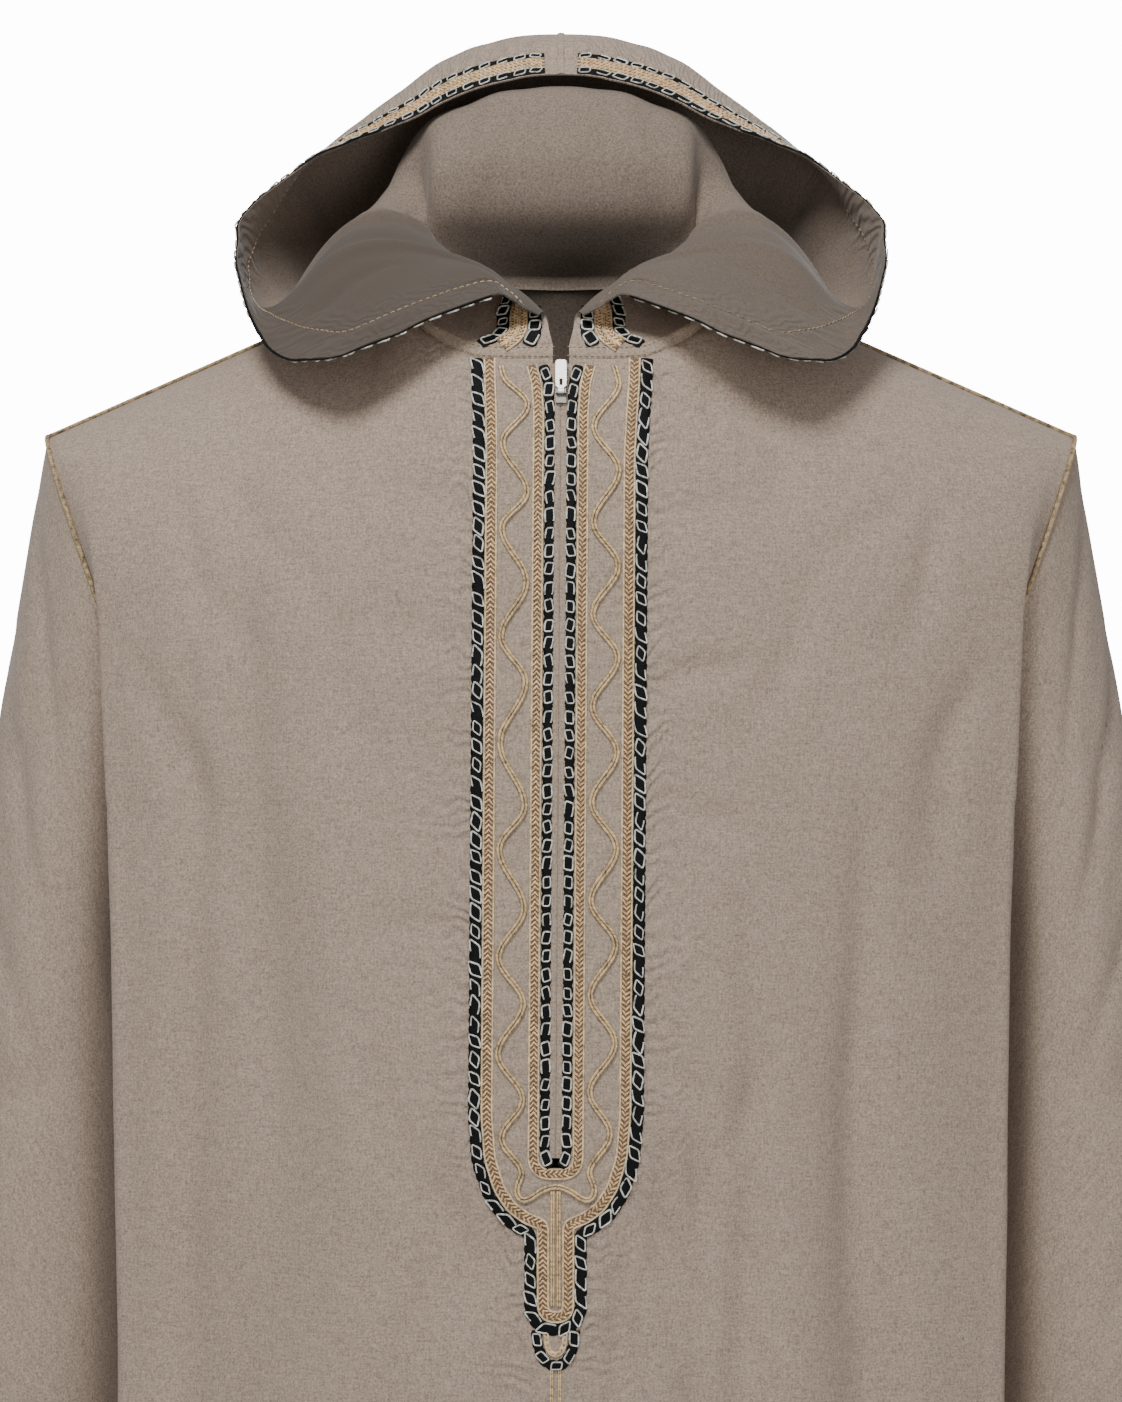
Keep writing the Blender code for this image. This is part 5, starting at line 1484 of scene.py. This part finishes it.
class ROBE_OT_sleeves(bpy.types.Operator):
    """Make both sleeves in worn cloth, with a stitched cuff"""
    bl_idname = "robe.sleeves"
    bl_label = "Sleeves"

    def execute(self, context):
        thick = context.scene.robe_cloth.thickness * MM
        for word, side in SIDES:
            rows, normals = sleeve_cloth(side)
            thing = cloth_shell("Robe_sleeve_" + word, rows, normals, thick, closed=True)
            sewn(thing, "taupe_cloth", "sleeve_" + word)
            cuff = Path(rows[-4] + rows[-4][:1], normals[-4] + normals[-4][:1])
            sewn(stitched("Robe_cuff_stitches_" + word, cuff), "taupe_cloth")
        return {"FINISHED"}


class ROBE_OT_neck(bpy.types.Operator):
    """Make the binding round the neck edge, sewn with two rows of stitches"""
    bl_idname = "robe.neck"
    bl_label = "Neck Band"

    def execute(self, context):
        half = neck_edge()
        coarse = [mirrored(p) for p in half[:-1]] + list(reversed(half))
        path = smooth_path(coarse, [8] * (len(coarse) - 1))
        facing = level_out(path)

        def ring(height, bulge):
            """Points round the band at a height over the neck edge, both in mm."""
            return [p + neck_rise(p) * (height * MM + BAND_GAP) + n * bulge * MM
                    for p, n in zip(path, facing)]

        rows = [ring(*place) for place in BAND_SECTION]
        thing = cloth_shell("Robe_neck_band", rows, [facing] * len(rows), BAND_THICK)
        sewn(thing, "taupe_cloth", "neck_band")
        path_length(path) * 1.05
        for label, height in BAND_STITCHES:
            line = Path(ring(height, 0.75), facing)
            sewn(stitched("Robe_neck_stitches_" + label, line, 2.0 * MM, 2.9 * MM, 0.2 * MM), "taupe_cloth")
        return {"FINISHED"}


def from_edge(rows, normals, column, distance):
    """Place and outward direction at a distance from the hood's edge, along one column."""
    r = len(rows) - 1
    while r > 0:
        span = (rows[r - 1][column] - rows[r][column]).length
        if distance <= span:
            share = distance / span
            return (rows[r][column].lerp(rows[r - 1][column], share),
                    normals[r][column].lerp(normals[r - 1][column], share).normalized())
        distance -= span
        r -= 1
    return rows[0][column].copy(), normals[0][column].copy()


def edge_line(side, distances, first, last, short=0):
    """Line along the hood's edge; its distances from it at the side and the top are in mm."""
    rows, normals, starts, steps = hood_cloth(side)
    columns = range(sum(steps[:first]), sum(steps[:last]) + 1 - short)
    low, high = distances
    places, facings = [], []
    for c in columns:
        reach = path_length([rows[r][c] for r in range(starts[-4], starts[-1] + 1)])
        share = reach / (3 * TRIM_STEP)
        top = smoothstep(-0.02, 0.06, rows[-1][c].z - 0.06)
        distance = low + (high - low) * top
        place, facing = from_edge(rows, normals, c, distance * MM * share)
        places.append(place)
        facings.append(facing)
    return Path(places, facings)


class ROBE_OT_hood(bpy.types.Operator):
    """Make the laid-back hood with its turned-out edge, centre strip and facing stitches"""
    bl_idname = "robe.hood"
    bl_label = "Hood"

    def execute(self, context):
        thick = context.scene.robe_cloth.thickness * MM
        for word, side in SIDES:
            rows, normals, _, steps = hood_cloth(side)
            # Painted shade: darker over the hood's front below its top, by a different amount on each side
            deep = [[HOOD_PAINTED_SHADE[side] * smoothstep(-30 * MM, 30 * MM, -p.y)
                     * smoothstep(-95 * MM, -60 * MM, -p.z) for p in row] for row in rows]
            pucker = [[HOOD_PUCKER * smoothstep(-24, -8, r - len(rows))] * len(row)
                      for r, row in enumerate(rows)]
            thing = cloth_shell("Robe_hood_" + word, rows, normals, thick,
                                attributes=(("deep", deep), ("pucker", pucker)))
            sewn(thing, "taupe_cloth", "hood_" + word)
            line = edge_line(side, (FACING_DISTANCE,) * 2, FACING_FIRST_COLUMN, len(steps))
            inside = Path([p - n * thick for p, n in zip(line.places, line.facings)],
                          [-n for n in line.facings])
            sewn(stitched("Robe_hood_facing_stitches_" + word, inside, 2.6 * MM, 3.8 * MM, 0.36 * MM),
                 "taupe_cloth")
        middle = [Vector((0, row[-1].y, row[-1].z)) for row in hood_cloth(1)[0]]
        flat = [[Vector((x * MM, p.y, p.z)) for x, _ in STRIP_SECTION] for p in middle]
        normals = grid_normals(flat, False)
        rows = [[p + n * lift * MM for p, n, (_, lift) in zip(row, ns, STRIP_SECTION)]
                for row, ns in zip(flat, normals)]
        strip = cloth_shell("Robe_hood_centre_strip", rows, normals, thick * 0.7, lined=False)
        sewn(strip, "taupe_cloth", "hood_centre_strip")
        path_length(middle)
        return {"FINISHED"}


class ROBE_OT_placket(bpy.types.Operator):
    """Lay the braids, their whipped loops and the cords down the front"""
    bl_idname = "robe.placket"
    bl_label = "Placket"

    def execute(self, context):
        surface = front_surface()
        lines = {name: laid(surface, path) for name, path in placket_paths().items()}
        for label, width in (("gold_outer", GOLD_OUT_WIDTH), ("gold_inner", GOLD_IN_WIDTH)):
            sewn(gold_braid("Placket_" + label, lines[label], width), "gold_braid", "placket_" + label)
        sewn(dark_braid("Placket_dark_outer", lines["dark_outer"], DARK_OUT_WIDTH), "dark_braid",
             "placket_dark_outer")
        inner = [dark_braid("Placket_dark_inner", lines["dark_inner_" + word], DARK_IN_WIDTH)
                 for word, _ in SIDES]
        sewn(joined("Placket_dark_inner", inner), "dark_braid", "placket_dark_inner")
        sewn(double_cord("Placket_wave_cord", lines["wave"], WAVE_CORD), "gold_braid", "placket_wave_cord")
        sewn(gold_braid("Placket_tip_gold", lines["tip_gold"], TIP_GOLD_WIDTH), "gold_braid", "tip_gold")
        sewn(dark_braid("Placket_tip_dark", lines["tip_dark"], TIP_DARK_WIDTH), "dark_braid", "tip_dark")
        for word, _ in SIDES:
            for label, width in (("stem", STEM_CORD), ("front", FRONT_CORD)):
                end = label + "_cord_" + word
                sewn(double_cord("Placket_" + end, lines[label + "_" + word], width), "gold_braid", end)
        for label, width, slant, seed, share in FRONT_LOOPS:
            raised = lines[label].beside(0.0, DARK_HEIGHT)
            sewn(whipped("Placket_" + label + "_loops", raised, width, slant, seed, share), "gold_braid")
        return {"FINISHED"}


def looped(name, line, width, loop_width, slant, seed, open_share):
    """Dark braid on the hood with its whipped loops."""
    sewn(dark_braid("Hood_" + name, line, width), "dark_braid", "hood_" + name)
    loops = whipped("Hood_" + name + "_loops", line.beside(0.0, DARK_HEIGHT), loop_width, slant, seed,
                    open_share)
    sewn(loops, "gold_braid")


class ROBE_OT_hood_braids(bpy.types.Operator):
    """Lay braids along the hood's edge and up its stand"""
    bl_idname = "robe.hood_braids"
    bl_label = "Hood Braids"

    def execute(self, context):
        for word, side in SIDES:
            rows, normals, starts, steps = hood_cloth(side)
            last = len(steps)
            for label, distances, width in EDGE_BRAIDS:
                line = edge_line(side, distances, TRIM_FIRST_COLUMN, last, 2)
                name = "edge_" + label + "_" + word
                if label == "gold":
                    parts = []
                    for shift in EDGE_PLAITS:
                        parts += plaited("Hood_" + name, line.beside(shift * MM), EDGE_PLAIT_WIDTH)
                    for shift in EDGE_CORDS:
                        parts.append(cord("Hood_" + name, line.beside(shift * MM), EDGE_CORD_RADIUS,
                                          finish("edge_cord")))
                    sewn(joined("Hood_" + name, parts), "gold_braid", "hood_" + name)
                else:
                    looped(name, line, width * MM, width * MM, 0.3, 4 + side, 0.3)
            for label, column, share, kind in STAND_BRAIDS:
                first, second = sum(steps[:column]), sum(steps[:column + 1])
                middle = round(first + (second - first) * share / 2)
                span = range(0, starts[STAND_ROWS - 1] + 1)
                line = Path([rows[r][middle] for r in span], [normals[r][middle] for r in span])
                name = label[5:] + word
                if kind == "gold":
                    parts = [gold_braid("Hood_" + name, line.beside(shift * MM), STAND_GOLD_WIDTH)
                             for shift in STAND_GOLDS]
                    sewn(joined("Hood_" + name, parts), "gold_braid", "hood_" + name)
                else:
                    width = share * (rows[starts[2]][second] - rows[starts[2]][first]).length
                    looped(name, line, width * 0.9, width * 0.85, 0.0, 2 + side, 0.2)
        return {"FINISHED"}


class ROBE_OT_piping(bpy.types.Operator):
    """Lay cords over the shoulder seams and round the armholes"""
    bl_idname = "robe.piping"
    bl_label = "Seam Piping"

    def execute(self, context):
        front, back = coarse_panels()
        seam = SHOULDER_TIP - SIDE_NECK
        reach, per_span, shoulder_steps = YOKE_STEPS + 2, 5, 39
        for word, side in SIDES:
            outer, inner = (-1, 0) if side > 0 else (0, -1)
            set_off = Vector((SLEEVE_SET_OFF.x * side, 0, 0)) / 2
            slope = Vector((-side * seam.z, 0, seam.x)).normalized()
            places = []
            for k in range(shoulder_steps + 1):
                p = SIDE_NECK.lerp(SHOULDER_TIP, 0.01 + 0.97 * k / shoulder_steps)
                places.append(Vector((p.x * side, p.y, p.z)))
            top = front[0][outer] + set_off
            places += [places[-1].lerp(top, share) for share in (0.25, 0.5, 0.75, 1.0)]
            line = Path(places, [slope] * len(places))
            sewn(cord("Seam_piping_shoulder_" + word, line, PIPING_RADIUS, finish("piping"), 0.7 * MM, 8),
                 "gold_braid", "shoulder_piping_" + word)
            ring = armhole_ring(front, back, side)
            knots, facings = [], []
            for i in range(-reach, reach + 1):
                knots.append((front[i][outer] if i >= 0 else back[-i][inner]) + set_off)
                facing = Vector((side * 0.75, 0.35 * (ring[i].y / 0.06), 0.5 if abs(i) < 3 else 0.1))
                facings.append(facing.normalized())
            path = smooth_path(knots, [per_span] * (len(knots) - 1))
            after = facings[1:] + facings[-1:]
            spread = [facings[k // per_span].lerp(after[k // per_span], k % per_span / per_span).normalized()
                      for k in range(len(path))]
            sewn(cord("Seam_piping_armhole_" + word, Path(path, spread), PIPING_RADIUS, finish("piping"),
                      0.9 * MM, 8), "gold_braid", "armhole_piping_" + word)
        return {"FINISHED"}


def bevelled(node, name, width, material):
    """Copy of a hard solid with rounded edges."""
    thing = linked(name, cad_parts[node].data.copy())
    bevel = thing.modifiers.new("Bevel", "BEVEL")
    bevel.width = width
    bevel.segments = 2
    bevel.limit_method = "ANGLE"
    bevel.angle_limit = math.radians(35)
    mesh = applied(thing, name)
    mesh.materials.clear()
    mesh.materials.append(material)
    mesh.set_sharp_from_angle(angle=math.radians(40))
    return linked(name, mesh)


class ROBE_OT_zip(bpy.types.Operator):
    """Close the front with two cloth lips over the zip, its slider and its pull tab"""
    bl_idname = "robe.zip"
    bl_label = "Zip"

    def execute(self, context):
        line = laid(front_surface(), [Vector((0, TAPE_TOP_Z)), Vector((0, TAPE_FOOT_Z))])
        parts = [flat_braid("Zip_tape", line.beside(0.0, -TAPE_SINK), TAPE_WIDTH, TAPE_HEIGHT,
                            finish("cloth"))]
        parts += [flat_braid("Zip_lip", line.beside(side * LIP_X, -LIP_SINK), LIP_WIDTH, LIP_HEIGHT,
                             finish("cloth")) for side in (-1, 1)]
        sewn(joined("Zip_lips_and_tape", parts), "taupe_cloth", "zip_tape")
        for word, side in SIDES:
            row = line.beside(side * LIP_STITCH_X, LIP_STITCH_RISE)
            sewn(stitched("Zip_stitches_" + word, row, 1.8 * MM, 2.6 * MM, 0.16 * MM), "taupe_cloth")
        slider = bevelled("zip_slider", "Zip_slider_body", 0.28 * MM, finish("zip_body"))
        sewn(slider, "zip_metal", "zip_slider")
        pull = bevelled("zip_pull", "Zip_pull_tab", 0.2 * MM, finish("zip_metal"))
        sewn(pull, "zip_metal", "zip_pull", body="pull_tab")
        return {"FINISHED"}


class ROBE_OT_stage(bpy.types.Operator):
    """Set up the pale floor, the soft studio lights and the camera"""
    bl_idname = "robe.stage"
    bl_label = "Stage"

    def execute(self, context):
        stage = context.scene.robe_stage
        foot = CAD_BOX[0][2] - FLOOR_GAP
        mesh = bpy.data.meshes.new("Floor")
        corners = ((-1, -1), (1, -1), (1, 1), (-1, 1))
        mesh.from_pydata([(x * FLOOR_HALF, y * FLOOR_HALF, foot) for x, y in corners], [], [(0, 1, 2, 3)])
        mesh.materials.append(plain_material("Pale_Floor", stage.floor_colour, 0.9))
        floor = linked("Floor", mesh)
        for name, place, aim, width in LIGHTS:
            light = bpy.data.lights.new(name, "AREA")
            light.shape = "DISK"
            light.size = width
            light.energy = getattr(stage, name.lower() + "_power")
            lamp = linked(name, light)
            lamp.location = place
            lamp.rotation_euler = (Vector(aim) - Vector(place)).to_track_quat("-Z", "Y").to_euler()
        world = bpy.data.worlds.new("Studio")
        world.use_nodes = True
        tree = world.node_tree
        white = ("Color", (1, 1, 1, 1))
        soft, backdrop = (add_node(tree, "ShaderNodeBackground", [white, ("Strength", power)])
                          for power in (stage.sky_strength, stage.backdrop))
        seen = add_node(tree, "ShaderNodeLightPath").outputs["Is Camera Ray"]
        mix = add_node(tree, "ShaderNodeMixShader",
                       [(0, seen), (1, soft.outputs[0]), (2, backdrop.outputs[0])])
        tree.nodes.remove(tree.nodes["Background"])
        tree.links.new(mix.outputs[0], tree.nodes["World Output"].inputs[0])
        context.scene.world = world
        camera = bpy.data.cameras.new("Camera")
        camera.lens = stage.lens
        camera.sensor_width = 36
        eye = linked("Camera", camera)
        eye.location = CAMERA_PLACE
        eye.rotation_euler = (math.pi / 2, 0, 0)
        context.scene.camera = eye
        return {"FINISHED"}


# Settings and panel


def colour_setting(name, description, hex_code):
    """Colour property with its default given as an sRGB hex code."""
    return bpy.props.FloatVectorProperty(name=name, description=description, subtype="COLOR", size=3,
                                         min=0, max=1, default=rgb(hex_code))


def number_setting(name, description, default, **limits):
    """Number property."""
    return bpy.props.FloatProperty(name=name, description=description, default=default, **limits)


class RobeCloth(bpy.types.PropertyGroup):
    """Cloth of the robe."""
    colour: colour_setting("Cloth", "Colour of the robe's cloth", "a89686")
    # The wrong side's brightness also holds painted shade of the robe's insides
    reverse: number_setting("Reverse", "Brightness of the cloth's wrong side", 0.62, min=0.2, max=1.0)
    thickness: number_setting("Thickness", "Thickness of the cloth in mm", 0.8, min=0.3, max=1.6)
    thread_pitch: number_setting("Thread Pitch", "Distance between threads in mm", 0.7, min=0.2, max=2.0)


class RobeTrim(bpy.types.PropertyGroup):
    """Braids, cords and threads."""
    gold: colour_setting("Gold Braid", "Colour of the plaited braid", "d6ad82")
    cream: colour_setting("Edge Cord", "Colour of the cords beside the braid", "dcba96")
    tan: colour_setting("Wavy Cord", "Colour of the wavy and paired cords", "c2a67c")
    dark: colour_setting("Dark Braid", "Colour of the black braid", "08090b")
    whip: colour_setting("Loops", "Colour of the loops on the black braid", "dcd3c6")
    thread: colour_setting("Thread", "Colour of the sewing thread", "b0946f")
    loop_spacing: number_setting("Loop Spacing", "Distance between loops in mm", 9.2, min=4, max=20)
    loop_size: number_setting("Loop Size", "Length of a loop in mm", 6.0, min=2, max=10)
    loop_thread: number_setting("Loop Thread", "Radius of the loops' thread in mm", 0.42, min=0.1, max=1.0)


class RobeStage(bpy.types.PropertyGroup):
    """Floor, lights and camera."""
    floor_colour: colour_setting("Floor", "Colour of the floor", "f2f0ed")
    key_power: number_setting("Key Light", "Power of the main light", 46, min=0, unit="POWER")
    fill_power: number_setting("Fill Light", "Power of the fill light", 13, min=0, unit="POWER")
    top_power: number_setting("Top Light", "Power of the light above", 4, min=0, unit="POWER")
    sky_strength: number_setting("Sky", "Light from the white surroundings", 0.30, min=0)
    backdrop: number_setting("Backdrop", "Brightness of the white backdrop", 14.0, min=0)
    lens: number_setting("Lens", "Focal length of the camera", 137.6, min=20, unit="CAMERA")


class VIEW3D_PT_robe(bpy.types.Panel):
    """Settings and steps of the robe."""
    bl_label = "Hooded Robe"
    bl_idname = "VIEW3D_PT_robe"
    bl_space_type = "VIEW_3D"
    bl_region_type = "UI"
    bl_category = "Robe"

    def draw(self, context):
        for setting in SETTINGS:
            group = getattr(context.scene, setting)
            box = self.layout.box()
            box.label(text=setting[5:].title())
            for key in group.bl_rna.properties.keys():
                if key not in ("rna_type", "name"):
                    box.prop(group, key)
        for operator in OPERATORS:
            self.layout.operator(operator.bl_idname)


OPERATORS = (ROBE_OT_panels, ROBE_OT_sleeves, ROBE_OT_neck, ROBE_OT_hood, ROBE_OT_placket,
             ROBE_OT_hood_braids, ROBE_OT_piping, ROBE_OT_zip, ROBE_OT_stage)
SETTINGS = {"robe_cloth": RobeCloth, "robe_trim": RobeTrim, "robe_stage": RobeStage}
CLASSES = tuple(SETTINGS.values()) + OPERATORS + (VIEW3D_PT_robe,)


def register():
    """Register the classes and hang the settings on the scene."""
    for kind in CLASSES:
        bpy.utils.register_class(kind)
    for setting, kind in SETTINGS.items():
        setattr(bpy.types.Scene, setting, bpy.props.PointerProperty(type=kind))


def unregister():
    """Take the settings and classes away."""
    for setting in SETTINGS:
        delattr(bpy.types.Scene, setting)
    for kind in reversed(CLASSES):
        bpy.utils.unregister_class(kind)


def main():
    """Build every piece."""
    register()
    for operator in OPERATORS:
        getattr(bpy.ops.robe, operator.bl_idname.split(".")[1])()


if __name__ == "__main__":
    main()
